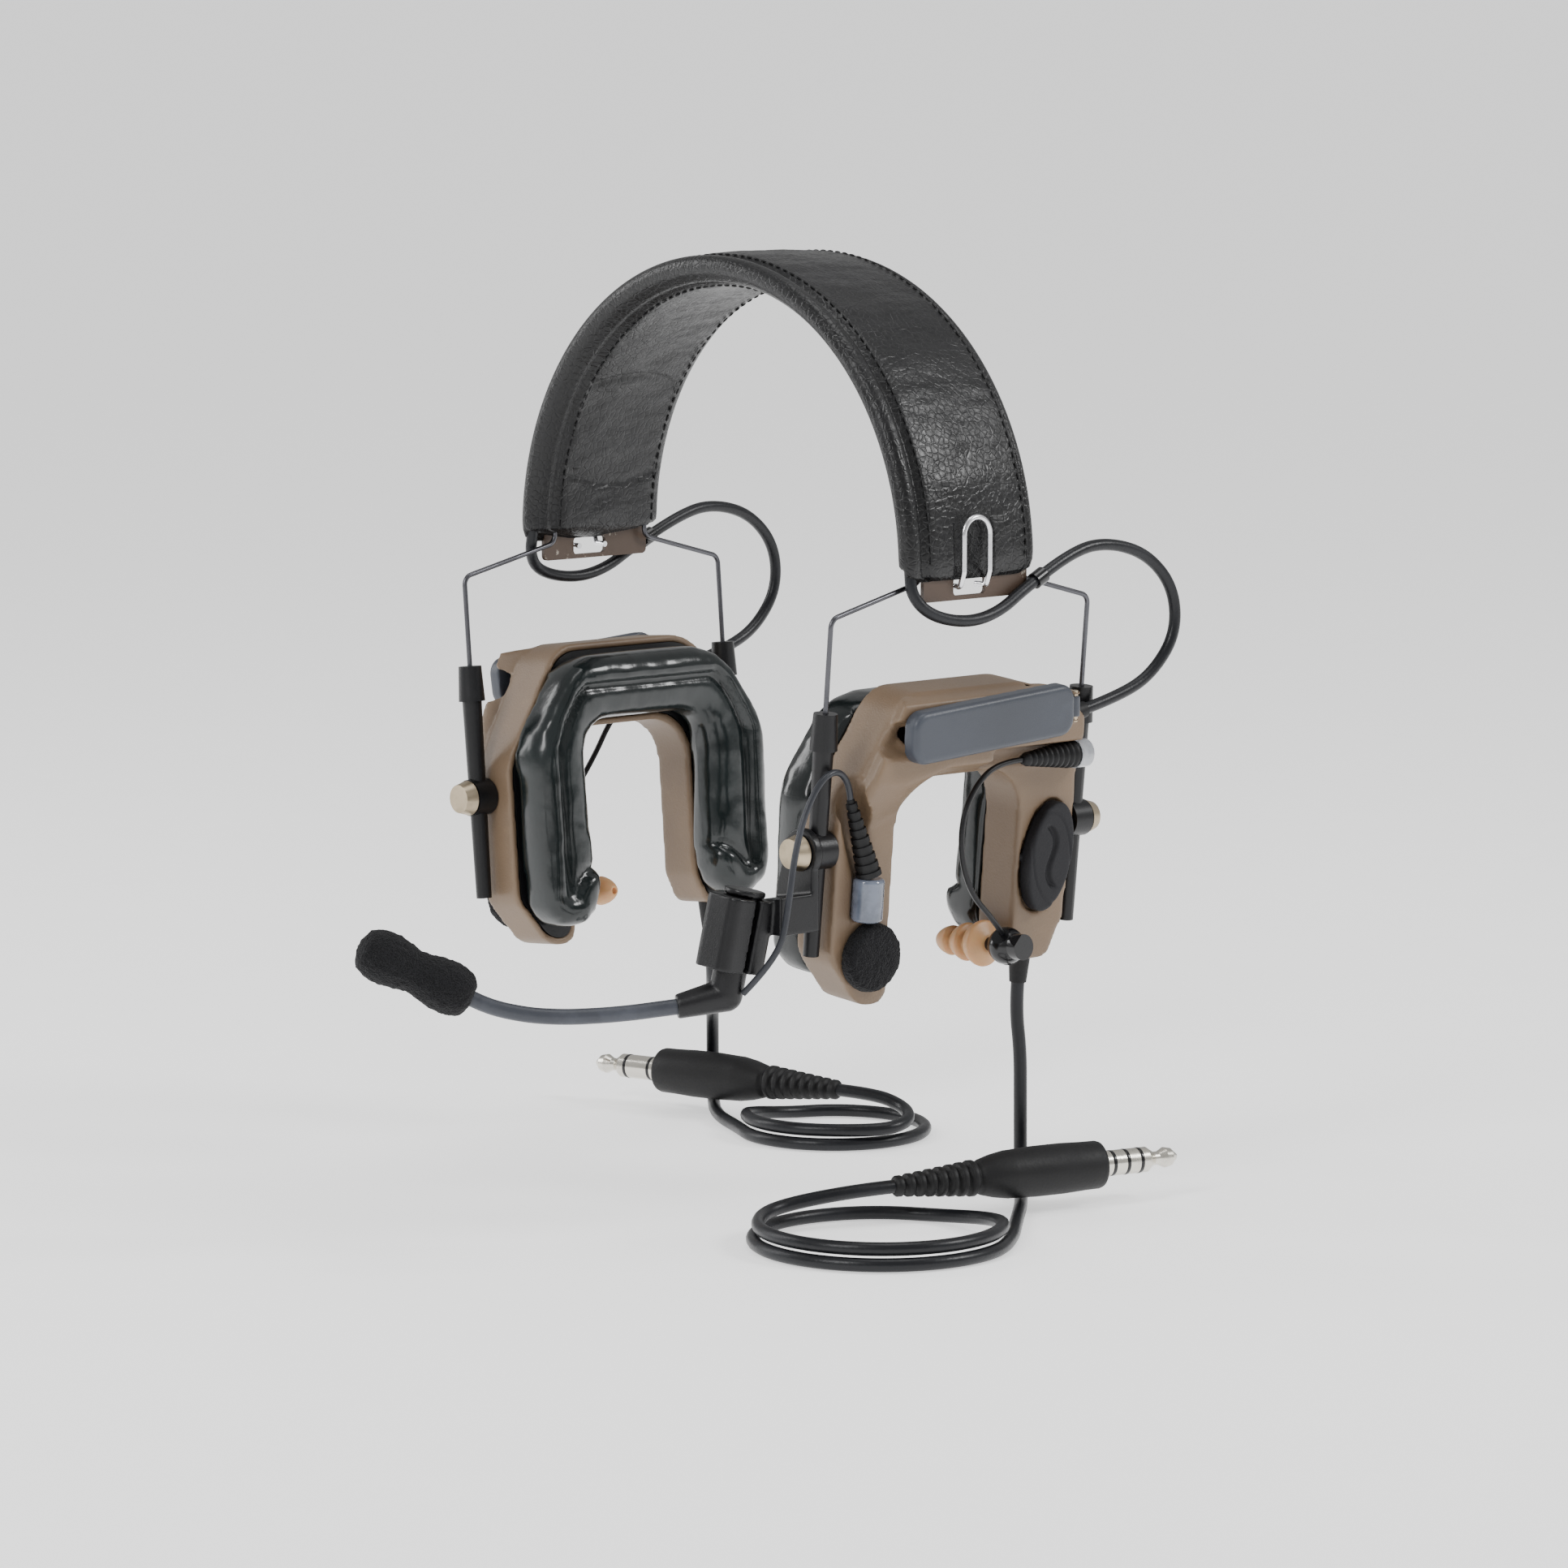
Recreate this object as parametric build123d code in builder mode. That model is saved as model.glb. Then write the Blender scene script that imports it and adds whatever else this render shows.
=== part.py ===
from build123d import *
import math
import os

# Radio headset with a leather headband, two open U-shaped cups, in-ear tips, a boom microphone and two
# plug leads. +X is the wearer's left, -Y the wearer's front, +Z up. The origin is the middle of the
# headband's underside, where it rests on the head. All sizes are in millimetres.

# Headband
arch_radius = 78.1            # to the middle of the band's thickness
band_thickness = 8.5
band_width = 48.5
cover_wall = 1.4
bead_radius = 3.1             # rolled channel along the band's front edge
cable_arch_radius = 79.4      # the crossover cable inside that channel
wire_arch_radius = 76.9
front_wire_y = -15.0
rear_wire_y = 19.0
window_width = 15.0           # arch-shaped window in the leather for the wire clip
window_height = 17.0
plate_thickness = 1.3
plate_width = 38.6
plate_middle_y = 2.3
plate_drop = 8.5              # below the leather
plate_grip = 8.0              # inside the leather
plate_inset = 0.5             # from the cover's outer wall
notch_width = 12.0
notch_height = 5.0
clip_wire_radius = 0.8
clip_width = 9.6
clip_height = 14.0

# Spring wires and the sleeves that slide on them
wire_radius = 0.7
wire_lean = 5.0               # the wires lean in towards the head going down
wire_spread = 96.2
corner_drop = 11.0
pivot_drop = 73.7
pivot_offset = 72.05
wire_end_height = 18.0        # above the pivot
sleeve_radius = 2.8
sleeve_tip_radius = 2.2
sleeve_top_height = 37.5
sleeve_foot_height = -29.0
sleeve_head_radius = 3.8
sleeve_head_length = 10.0
wire_clearance = 0.15
lug_radius = 5.2
lug_thickness = 6.5
pin_radius = 2.4
pin_clearance = 0.06
pin_grip = 4.5                # how far a pin reaches into the shell
pin_head_radius = 5.0
pin_head_height = 3.4
side_gap = 0.4

# Cups
cup_half_width = 44.5
cup_top = 41.6
front_leg_foot = -44.2
rear_leg_foot = -38.0
opening_half_width = 23.3
opening_top = 17.5
leg_depth = 14.0
cup_inner = -10.0             # depth of the cup's inner face, measured outwards from the wires
cup_wall = 2.0
bar_height = 6.5              # how far the battery housing stands out from the legs
back_plate_thickness = 1.8
cushion_thickness = 13.0
cushion_gap = 0.2
screw_radius = 1.1
battery_radius = 5.2
battery_length = 44.5
battery_tilt = 4.0
cover_length = 60.0
cover_height = 14.5
cover_thickness = 4.8
cover_centre = (1.0, 33.0)
cover_gap = 0.3
hinge_pin_radius = 0.9
keypad_length = 31.0
keypad_width = 16.6
keypad_tilt = 10.0
keypad_centre = (34.0, -8.5)
keypad_height = 3.2
keypad_sink = 0.75            # how far the key's underside lies below the leg's face
foam_radius = 9.5
foam_height = 5.5
foam_centre = (-31.5, -30.0)
board_thickness = 1.4

# Cords
tie_radius = 2.3
tie_length = 4.0
crossover_radius = 1.65
lead_radius = 1.9
thin_radius = 0.8
mic_cable_radius = 0.9
floor_level = -253.2          # the surface that the leads lie on

# Plugs
plug_pin_radius = 3.57
plug_pin_length = 25.0
plug_collar_radius = 6.7
plug_body_radius = 7.1
plug_body_length = 38.0
plug_neck_radius = 4.9
plug_relief_length = 27.0
plug_ribs = 8

# Boom
bracket_eye_radius = 6.5
leg_radius = 4.6
leg_clearance = 0.08
gooseneck_radius = 2.15
capsule_radius = 3.6
capsule_length = 20.0
foam_lobe_radius = 7.1

os.makedirs("parts", exist_ok=True)

band_end_z = -(arch_radius - band_thickness / 2)
pivot_z = band_end_z - pivot_drop
corner_z = band_end_z - corner_drop
wire_y = wire_spread / 2
lean_sine = math.sin(math.radians(wire_lean))
lean_cosine = math.cos(math.radians(wire_lean))
bead_y = -(band_width / 2 - bead_radius)
lead_z = floor_level + lead_radius


def save(builder, label):
    """Labels one finished piece and writes its STEP file."""
    builder.part.label = label
    export_step(builder.part, f"parts/{label}.step")


def cup_plane(side, depth=0.0):
    """The cup's face plane: x is rearwards times side, y is up the lean, z points outwards."""
    normal = (side * lean_cosine, 0, -lean_sine)
    middle = Plane(origin=(side * pivot_offset, 0, pivot_z), x_dir=(0, side, 0), z_dir=normal)
    return middle.offset(depth)


def cup_point(side, rear, height, depth):
    """A point of the cup in the headset's frame."""
    along = side * (pivot_offset + height * lean_sine + depth * lean_cosine)
    return (along, rear, pivot_z + height * lean_cosine - depth * lean_sine)


def turned(side, points):
    """Outline points given as (rearwards, up), turned into the cup plane's own x and y."""
    return [(side * rear, height) for rear, height in points]


def corner_radii(points, least=0.0):
    """The radius of each corner's arc: as large as its two runs allow."""
    radii = []
    for before, here, after in zip(points, points[1:], points[2:]):
        run_in = Vector(*here) - Vector(*before)
        run_out = Vector(*after) - Vector(*here)
        half_turn = math.radians(run_in.get_angle(run_out)) / 2
        shorter = min(run_in.length, run_out.length)
        radii.append(max(least, 0.45 * shorter / math.tan(half_turn)))
    return radii


def save_cord(points, radius, label):
    """A round cord of straight runs joined by tangent arcs."""
    radii = corner_radii(points)
    with BuildPart() as cord:
        with BuildLine():
            route = FilletPolyline(*points, radius=radii)
        with BuildSketch(Plane(origin=route @ 0, z_dir=route % 0)):
            Circle(radius)
        sweep()
    length = route.length
    section = math.pi * radius**2
    print(label, "length", round(length, 1), "volume share", round(cord.part.volume / section / length, 4))
    print("  radii", [round(r, 1) for r in radii])
    save(cord, label)


def mirrored_points(side, points):
    """The same route on the wearer's left (side 1) or right (side -1)."""
    return [(side * x, y, z) for x, y, z in points]


# ---------------------------------------------------------------- headband
arch_axis = Axis((0, 0, band_end_z), (0, 1, 0))
cavity_front = bead_y + bead_radius + 0.3
cavity_rear = band_width / 2 - cover_wall
cavity_thickness = band_thickness - 2 * cover_wall
cavity_middle_y = (cavity_front + cavity_rear) / 2
plate_x = arch_radius + cavity_thickness / 2 - plate_inset - plate_thickness / 2

with BuildPart() as band_cover:
    with BuildSketch(Plane.XY.offset(band_end_z)):
        with Locations((arch_radius, bead_radius / 2)):
            RectangleRounded(band_thickness, band_width - bead_radius, 4.0)
        with Locations((cable_arch_radius, bead_y)):
            Circle(bead_radius)
        with Locations((arch_radius, cavity_middle_y)):
            Rectangle(cavity_thickness, cavity_rear - cavity_front, mode=Mode.SUBTRACT)
        with Locations((cable_arch_radius, bead_y)):
            Circle(crossover_radius + 0.1, mode=Mode.SUBTRACT)
    revolve(axis=arch_axis, revolution_arc=-180)
    for side in (1, -1):
        with BuildSketch(Plane.YZ.offset(side * (arch_radius + cavity_thickness / 2 - 0.5))):
            with Locations((0, band_end_z + window_height - window_width / 2)):
                Circle(window_width / 2)
            with Locations((0, band_end_z + (window_height - window_width / 2) / 2)):
                Rectangle(window_width, window_height - window_width / 2)
        extrude(amount=side * (cover_wall + 1.5), mode=Mode.SUBTRACT)
save(band_cover, "band_cover")

with BuildPart() as band_pad:
    with BuildSketch(Plane.XY.offset(band_end_z)):
        with Locations((arch_radius, cavity_middle_y)):
            Rectangle(cavity_thickness - 0.3, cavity_rear - cavity_front - 0.4)
        with Locations((wire_arch_radius, front_wire_y), (wire_arch_radius, rear_wire_y)):
            Circle(wire_radius + wire_clearance, mode=Mode.SUBTRACT)
    revolve(axis=arch_axis, revolution_arc=-180)
    for side in (1, -1):
        with Locations((side * plate_x, plate_middle_y, band_end_z)):
            Box(plate_thickness + 1.6, plate_width + 0.6, 2 * (plate_grip + 0.6), mode=Mode.SUBTRACT)
save(band_pad, "band_pad")


def wire_fork(side, y_in_band, facing):
    """From the band's end out to the corner and down along the lean into the sleeve."""
    wire_x = side * wire_arch_radius
    corner = (side * (pivot_offset + (corner_z - pivot_z) * lean_sine / lean_cosine), facing * wire_y, corner_z)
    end = cup_point(side, facing * wire_y, wire_end_height, 0)
    return [(wire_x, y_in_band, band_end_z), (wire_x, y_in_band, band_end_z - 3.2), corner, end]


for label, y_in_band, facing in (("front_spring_wire", front_wire_y, -1), ("rear_spring_wire", rear_wire_y, 1)):
    with BuildPart() as spring_wire:
        with BuildLine():
            left = wire_fork(1, y_in_band, facing)
            right = wire_fork(-1, y_in_band, facing)
            start = FilletPolyline(*reversed(left), radius=3.0)
            ThreePointArc(left[0], (0, y_in_band, band_end_z + wire_arch_radius), right[0])
            FilletPolyline(*right, radius=3.0)
        with BuildSketch(Plane(origin=start @ 0, z_dir=start % 0)):
            Circle(wire_radius)
        sweep()
    save(spring_wire, label)

with BuildPart() as end_plates:
    for side in (1, -1):
        with BuildSketch(Plane.YZ.offset(side * plate_x - plate_thickness / 2)):
            with Locations((plate_middle_y, band_end_z + (plate_grip - plate_drop) / 2)):
                RectangleRounded(plate_width, plate_grip + plate_drop, 1.5)
            with Locations((0, band_end_z - plate_drop + 1.2 + notch_height / 2)):
                RectangleRounded(notch_width, notch_height, 1.2, mode=Mode.SUBTRACT)
        extrude(amount=plate_thickness)
save(end_plates, "end_plates")

clip_x = arch_radius + band_thickness / 2 + clip_wire_radius + 0.1
hook_x = plate_x + plate_thickness / 2 + clip_wire_radius + 0.2
foot_z = band_end_z - plate_drop + 1.2 + notch_height / 2
arch_z = band_end_z + clip_height - clip_width / 2
half = clip_width / 2
hook = [(hook_x - 3.6, -half, foot_z), (hook_x + 0.4, -half, foot_z), (clip_x, -half, foot_z + 4)]
with BuildPart() as wire_clips:
    for side in (1, -1):
        with BuildLine():
            first = mirrored_points(side, hook + [(clip_x, -half, arch_z)])
            FilletPolyline(*first, radius=1.2)
            ThreePointArc(first[-1], (side * clip_x, 0, arch_z + half), (side * clip_x, half, arch_z))
            last = [(x, -y, z) for x, y, z in reversed(first)]
            FilletPolyline(*last, radius=1.2)
        with BuildSketch(Plane(origin=first[0], z_dir=(side, 0, 0))):
            Circle(clip_wire_radius)
        sweep()
save(wire_clips, "wire_clips")

# The crossover cable lies in the band's front channel and sags under each end plate to its tie.
sag_points = [
    (cable_arch_radius, bead_y, band_end_z), (80.3, -21.4, -79.8), (82.1, -17.6, -84.7), (82.7, -9.5, -87.5),
    (82.8, 0.5, -88.2), (82.6, 10.2, -85.8), (82.3, 18.5, -81.0), (82.0, 26.5, -77.2),
]
with BuildPart() as crossover_cable:
    with BuildLine() as route:
        left = sag_points
        right = mirrored_points(-1, sag_points)
        FilletPolyline(*reversed(left), radius=list(reversed(corner_radii(left))))
        ThreePointArc(left[0], (0, bead_y, band_end_z + cable_arch_radius), right[0])
        FilletPolyline(*right, radius=corner_radii(right))
    start = Vector(*left[-1])
    with BuildSketch(Plane(origin=start, z_dir=Vector(*left[-2]) - start)):
        Circle(crossover_radius)
    sweep()
print("crossover_cable length", round(route.wire().length, 1), "radii", [round(r, 1) for r in corner_radii(left)])
save(crossover_cable, "crossover_cable")

loop_points = [
    (82.0, 26.5, -77.2), (81.55, 38.5, -71.5), (82.0, 51.5, -70.0), (82.8, 66.0, -74.0), (83.4, 76.0, -84.0),
    (83.6, 77.0, -97.0), (83.0, 68.5, -107.5), (82.2, 57.0, -112.9), (81.0, 43.6, -115.9),
]
for side, word in ((1, "left"), (-1, "right")):
    save_cord(mirrored_points(side, loop_points), crossover_radius, f"{word}_loop_cable")
with BuildPart() as cable_ties:
    for side in (1, -1):
        tie_from = Vector(*mirrored_points(side, sag_points)[-2])
        tie_to = Vector(*mirrored_points(side, sag_points)[-1])
        with BuildSketch(Plane(origin=tie_from + (tie_to - tie_from) * 0.54, z_dir=tie_to - tie_from)):
            Circle(tie_radius)
            Circle(crossover_radius + 0.06, mode=Mode.SUBTRACT)
        extrude(amount=tie_length)
save(cable_ties, "cable_ties")

# ---------------------------------------------------------------- sleeves and pivot pins
lug_inner_y = cup_half_width + side_gap
lug_outer_y = lug_inner_y + lug_thickness
bracket_thickness = 2.6
pin_foot_y = cup_half_width - pin_grip
for side, word in ((1, "left"), (-1, "right")):
    bore_foot = pin_radius + 2.4
    with BuildPart() as sleeves:
        for facing in (-1, 1):
            y = facing * wire_y
            along = Vector(*cup_point(side, y, 1, 0)) - Vector(*cup_point(side, y, 0, 0))
            with BuildSketch(Plane(origin=cup_point(side, y, sleeve_foot_height, 0), z_dir=along)):
                Circle(sleeve_tip_radius)
            with BuildSketch(Plane(origin=cup_point(side, y, sleeve_top_height - sleeve_head_length, 0), z_dir=along)):
                Circle(sleeve_radius)
            loft()
            with BuildSketch(Plane(origin=cup_point(side, facing * lug_inner_y, 0, 0), z_dir=(0, facing, 0))):
                Circle(lug_radius)
            extrude(amount=lug_thickness)
            with BuildSketch(Plane(origin=cup_point(side, facing * lug_inner_y, 0, 0), z_dir=(0, facing, 0))):
                Circle(pin_radius + pin_clearance)
            extrude(amount=lug_thickness, mode=Mode.SUBTRACT)
            with BuildSketch(Plane(origin=cup_point(side, y, bore_foot, 0), z_dir=along)):
                Circle(wire_radius + wire_clearance)
            extrude(amount=sleeve_top_height, mode=Mode.SUBTRACT)
    save(sleeves, f"{word}_sleeves")
    with BuildPart() as sleeve_heads:
        for facing in (-1, 1):
            y = facing * wire_y
            along = Vector(*cup_point(side, y, 1, 0)) - Vector(*cup_point(side, y, 0, 0))
            foot = cup_point(side, y, sleeve_top_height - sleeve_head_length, 0)
            with BuildSketch(Plane(origin=foot, z_dir=along)):
                Circle(sleeve_head_radius)
            extrude(amount=sleeve_head_length, taper=3)
            with BuildSketch(Plane(origin=foot, z_dir=along)):
                Circle(wire_radius + wire_clearance)
            extrude(amount=sleeve_head_length, mode=Mode.SUBTRACT)
    save(sleeve_heads, f"{word}_sleeve_heads")
# ---------------------------------------------------------------- cups
shell_outline = [
    (-44.5, -30), (-44.5, 9), (-24, cup_top), (26, cup_top), (44.5, 22), (44.5, -4), (43, -27),
    (37.5, rear_leg_foot), (27.5, rear_leg_foot), (opening_half_width, -29),
    (opening_half_width, opening_top), (-opening_half_width, opening_top), (-opening_half_width, -26),
    (-opening_half_width + 1.0, front_leg_foot), (-33, front_leg_foot),
]
shell_fillets = [8, 12, 12, 18, 14, 10, 8, 5, 4, 4, 13, 13, 4, 5, 9]


def outline(side, points, fillets):
    """A closed outline with its own arc at each corner."""
    path = turned(side, points)
    with BuildSketch(mode=Mode.PRIVATE) as shape:
        with BuildLine():
            Polyline(*path, close=True)
        make_face()
        for corner, radius in zip(path, fillets):
            fillet(shape.vertices().sort_by_distance((corner[0], corner[1], 0))[0], radius)
    return shape.sketch


def tilted_stadium(side, centre, length, width, angle):
    """A long round-ended shape lying at an angle to the rearward direction."""
    with BuildSketch(mode=Mode.PRIVATE) as shape:
        with Locations(Location((side * centre[0], centre[1], 0), (0, 0, side * angle))):
            SlotOverall(length, width)
    return shape.sketch


cup_outer = cup_inner + leg_depth
bar_outer = cup_outer + bar_height
bar_foot = [
    (-42.5, 2), (-42.5, 9), (-24, cup_top - 0.8), (27, cup_top - 0.8), (43, 24), (43, 17.5), (24, 17.5),
    (16, 18.5), (-15, 18.0), (-23.5, 9),
]
bar_head = [
    (-37, 19), (-37, 22), (-29, cup_top - 1.8), (31, cup_top - 1.0), (40, 32), (40, 24), (28, 22), (14, 21.5),
    (-9, 21.5), (-26, 18),
]
inner_outline = [
    (-42.4, -30), (-42.4, 8.5), (-23, cup_top - 2.1), (25, cup_top - 2.1), (42.4, 21), (42.4, -4), (41, -26.3),
    (36.5, rear_leg_foot + 2.1), (28.5, rear_leg_foot + 2.1), (25.4, -28.5), (25.4, opening_top + 2.1),
    (-25.4, opening_top + 2.1), (-25.4, -26), (-24.6, front_leg_foot + 2.1), (-32.5, front_leg_foot + 2.1),
]
inner_fillets = [7, 11, 11, 16, 13, 8, 6, 4, 3, 3, 14, 14, 3, 3.5, 8]
cushion_outline = [
    (-44, -33), (-44, 15), (-27, 38.5), (27, 38.5), (44, 15), (44, -30), (37, -35.5), (29, -35.5),
    (23.5, -29), (23.5, 19.5), (-23.5, 19.5), (-23.5, -31), (-28, -38.5), (-38, -38.5),
]
cushion_fillets = [9, 20, 20, 20, 20, 9, 6, 6, 9, 10, 10, 9, 6, 6]
trough_depth = 13.0
trough_floor = bar_outer - trough_depth
cavity_roof = trough_floor - 1.7
screw_places = [(-34, 8), (34, 22), (-34, -30), (34, -20)]
boss_radius = 2.4
pad_recess = 2.8
mic_socket = (-34.5, -19.5, -7.0, 6.5)      # rear, lowest and highest height, depth
mic_socket_radius = 4.3
mic_relief_end = (-40.5, 13.9, 3.65)
mic_relief_radius = 3.5
ear_socket = (20.5, 8.0)                    # height and depth of the ear-plug connector's axis
ear_socket_rear = 44.0
ear_nut_length = 5.4
ear_nut_radius = 4.0
ear_relief_front = 19.0
gland_foot = (35.0, 30.35, 5.56)
gland_radius = 3.4
lead_exit_rear = 34.0
lead_exit_depth = -3.0
lead_gland_length = 8.0
hinge_reach = 2.1                           # the cover's hinge pin stands behind the cover's end
hinge_rise = 2.3
knuckle_radius = 1.5
knuckle_half = 3.0
ear_thickness = 1.2

rocker_radius = 1.0
rocker_length = keypad_width + 3.4
rocker_depth = cup_outer - 1.5
rocker_from = cup_point(1, keypad_centre[0] - rocker_length / 2, keypad_centre[1], rocker_depth)
mic_foot = Vector(*cup_point(1, mic_socket[0], mic_socket[2], mic_socket[3]))
mic_end = Vector(*cup_point(1, *mic_relief_end))
bar_turn = math.radians(battery_tilt)
cell_depth = trough_floor + battery_radius + 0.05


def tilted_oval(side, width, height):
    """The keypad's oval on the rear leg."""
    with BuildSketch(mode=Mode.PRIVATE) as shape:
        with Locations(Location((side * keypad_centre[0], keypad_centre[1], 0), (0, 0, -side * keypad_tilt))):
            Ellipse(width / 2, height / 2)
    return shape.sketch


def ear_plane(side, rear):
    """A plane across the ear-plug connector's axis, facing the wearer's front."""
    return Plane(origin=cup_point(side, rear, *ear_socket), z_dir=(0, -1, 0))


def foot_plane(side):
    """The rear leg's foot, where the lead leaves, facing down."""
    origin = cup_point(side, lead_exit_rear, rear_leg_foot, lead_exit_depth)
    return Plane(origin=origin, z_dir=(-side * lean_sine, 0, -lean_cosine))


def gland_plane(side):
    """The crossover gland's foot, facing along the cable."""
    foot = Vector(*cup_point(side, *gland_foot))
    return Plane(origin=foot, z_dir=Vector(*mirrored_points(side, loop_points)[-1]) - foot)


def straight(side, rear, up):
    """A direction in the cup's face, given as rearwards and up parts."""
    return Vector(*cup_point(side, rear, up, 0)) - Vector(*cup_point(side, 0, 0, 0))


for side, word in ((1, "left"), (-1, "right")):
    cup_up = straight(side, 0, 1)
    cell_dir = straight(side, math.cos(bar_turn), math.sin(bar_turn))
    pin_dir = straight(side, -math.sin(bar_turn), math.cos(bar_turn))
    hinge_along = cover_length / 2 + hinge_reach
    hinge_rear = cover_centre[0] + hinge_along * math.cos(bar_turn)
    hinge_up = cover_centre[1] + hinge_along * math.sin(bar_turn)
    hinge_middle = Vector(*cup_point(side, hinge_rear, hinge_up, bar_outer + hinge_rise))
    print(f"{word}_battery_cover hinge", hinge_middle, "axis", pin_dir)
    pin_half = knuckle_half + 0.15 + ear_thickness
    with BuildPart() as pivot_pins:
        for facing in (-1, 1):
            outer_y = lug_outer_y + side_gap
            if side == 1 and facing == -1:
                outer_y += bracket_thickness + side_gap
            with BuildSketch(Plane(origin=cup_point(side, facing * pin_foot_y, 0, 0), z_dir=(0, facing, 0))):
                Circle(pin_radius)
            extrude(amount=outer_y - pin_foot_y)
            with BuildSketch(Plane(origin=cup_point(side, facing * outer_y, 0, 0), z_dir=(0, facing, 0))):
                Circle(pin_head_radius)
            extrude(amount=pin_head_height, taper=16)
        with BuildSketch(Plane(origin=hinge_middle - pin_dir * pin_half, z_dir=pin_dir)):
            Circle(hinge_pin_radius)
        extrude(amount=2 * pin_half)
    save(pivot_pins, f"{word}_pins")

    with BuildPart() as shell:
        with BuildSketch(cup_plane(side, cup_inner)):
            add(outline(side, shell_outline, shell_fillets))
        extrude(amount=leg_depth)
        with BuildSketch(cup_plane(side, cup_outer)):
            Polygon(*turned(side, bar_foot), align=None)
        with BuildSketch(cup_plane(side, bar_outer)):
            Polygon(*turned(side, bar_head), align=None)
        loft(ruled=True)
        with BuildSketch(cup_plane(side, cup_inner)):
            add(outline(side, inner_outline, inner_fillets))
        extrude(amount=cavity_roof - cup_inner, mode=Mode.SUBTRACT)
        with BuildSketch(cup_plane(side, cup_inner + back_plate_thickness)):
            with Locations(*turned(side, screw_places)):
                Circle(boss_radius)
                Circle(screw_radius - 0.05, mode=Mode.SUBTRACT)
        extrude(amount=cavity_roof - cup_inner - back_plate_thickness)
        with BuildSketch(cup_plane(side, bar_outer + 1)):
            add(tilted_stadium(side, cover_centre, battery_length + 9, 2 * battery_radius + 1.0, battery_tilt))
        extrude(amount=-(trough_depth + 1), mode=Mode.SUBTRACT)
        for facing in (-1, 1):
            with BuildSketch(Plane(origin=cup_point(side, facing * pin_foot_y, 0, 0), z_dir=(0, facing, 0))):
                Circle(pin_radius)
            extrude(amount=cup_half_width, mode=Mode.SUBTRACT)
        with BuildSketch(ear_plane(side, ear_socket_rear + 2)):
            Circle(ear_nut_radius + 0.4)
        extrude(amount=ear_socket_rear + 2 - ear_relief_front + 13, mode=Mode.SUBTRACT)
        with BuildSketch(cup_plane(side, bar_outer + 4)):
            add(tilted_stadium(side, (-30.5, 30.6), 17, 13, battery_tilt))
        extrude(amount=-9.0, taper=22, mode=Mode.SUBTRACT)
        for ear in (-1, 1):
            rise = ear * (knuckle_half + 0.15 + ear_thickness / 2)
            place = (hinge_rear - rise * math.sin(bar_turn), hinge_up + rise * math.cos(bar_turn))
            with BuildSketch(cup_plane(side, bar_outer - 1.0)):
                with Locations(Location((side * place[0], place[1], 0), (0, 0, side * battery_tilt))):
                    Rectangle(2 * knuckle_radius, ear_thickness)
            extrude(amount=1.0 + hinge_rise)
            with BuildSketch(Plane(origin=hinge_middle + pin_dir * (rise - ear_thickness / 2), z_dir=pin_dir)):
                Circle(knuckle_radius)
            extrude(amount=ear_thickness)
        with BuildSketch(Plane(origin=hinge_middle - pin_dir * (knuckle_half + 2), z_dir=pin_dir)):
            Circle(hinge_pin_radius)
        extrude(amount=2 * knuckle_half + 4, mode=Mode.SUBTRACT)
        with BuildSketch(foot_plane(side)):
            Circle(2.2)
        extrude(amount=-4.0, mode=Mode.SUBTRACT)
        with BuildSketch(gland_plane(side)):
            Circle(gland_radius)
        extrude(amount=8.0, mode=Mode.SUBTRACT)
        if side == 1:
            with BuildSketch(cup_plane(side, cup_outer)):
                add(tilted_oval(side, keypad_width + 1.0, keypad_length + 1.0))
            extrude(amount=-pad_recess, mode=Mode.SUBTRACT)
            with BuildSketch(Plane(origin=rocker_from, z_dir=(0, 1, 0))):
                Circle(rocker_radius + pin_clearance)
            extrude(amount=rocker_length, mode=Mode.SUBTRACT)
            with BuildSketch(Plane(origin=cup_point(side, mic_socket[0], mic_socket[1] - 0.5, mic_socket[3]),
                                   z_dir=cup_up)):
                Circle(mic_socket_radius + 0.3)
            extrude(amount=mic_socket[2] - mic_socket[1] + 0.5, mode=Mode.SUBTRACT)
            channel_foot = mic_foot - (mic_end - mic_foot).normalized() * 2.6
            with BuildSketch(Plane(origin=channel_foot, z_dir=mic_end - mic_foot)):
                Circle(mic_relief_radius + 1.0)
            extrude(amount=(mic_end - mic_foot).length + 8.6, mode=Mode.SUBTRACT)
    save(shell, f"{word}_shell")

    with BuildPart() as back_plate:
        with BuildSketch(cup_plane(side, cup_inner)):
            add(outline(side, inner_outline, inner_fillets))
        extrude(amount=back_plate_thickness)
        with BuildSketch(cup_plane(side, cup_inner)):
            with Locations(*turned(side, screw_places)):
                Circle(screw_radius)
        extrude(amount=back_plate_thickness, mode=Mode.SUBTRACT)
    save(back_plate, f"{word}_back_plate")

    with BuildPart() as plate_screws:
        with BuildSketch(cup_plane(side, cup_inner)):
            with Locations(*turned(side, screw_places)):
                Circle(screw_radius - 0.05)
        extrude(amount=back_plate_thickness + 2.4)
    save(plate_screws, f"{word}_plate_screws")

    with BuildPart() as circuit_board:
        with BuildSketch(cup_plane(side, cup_inner + back_plate_thickness)):
            Polygon(*turned(side, [(-25, 35), (25, 35), (29, 26), (-31, 26)]), align=None)
        extrude(amount=board_thickness)
    save(circuit_board, f"{word}_circuit_board")

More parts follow.
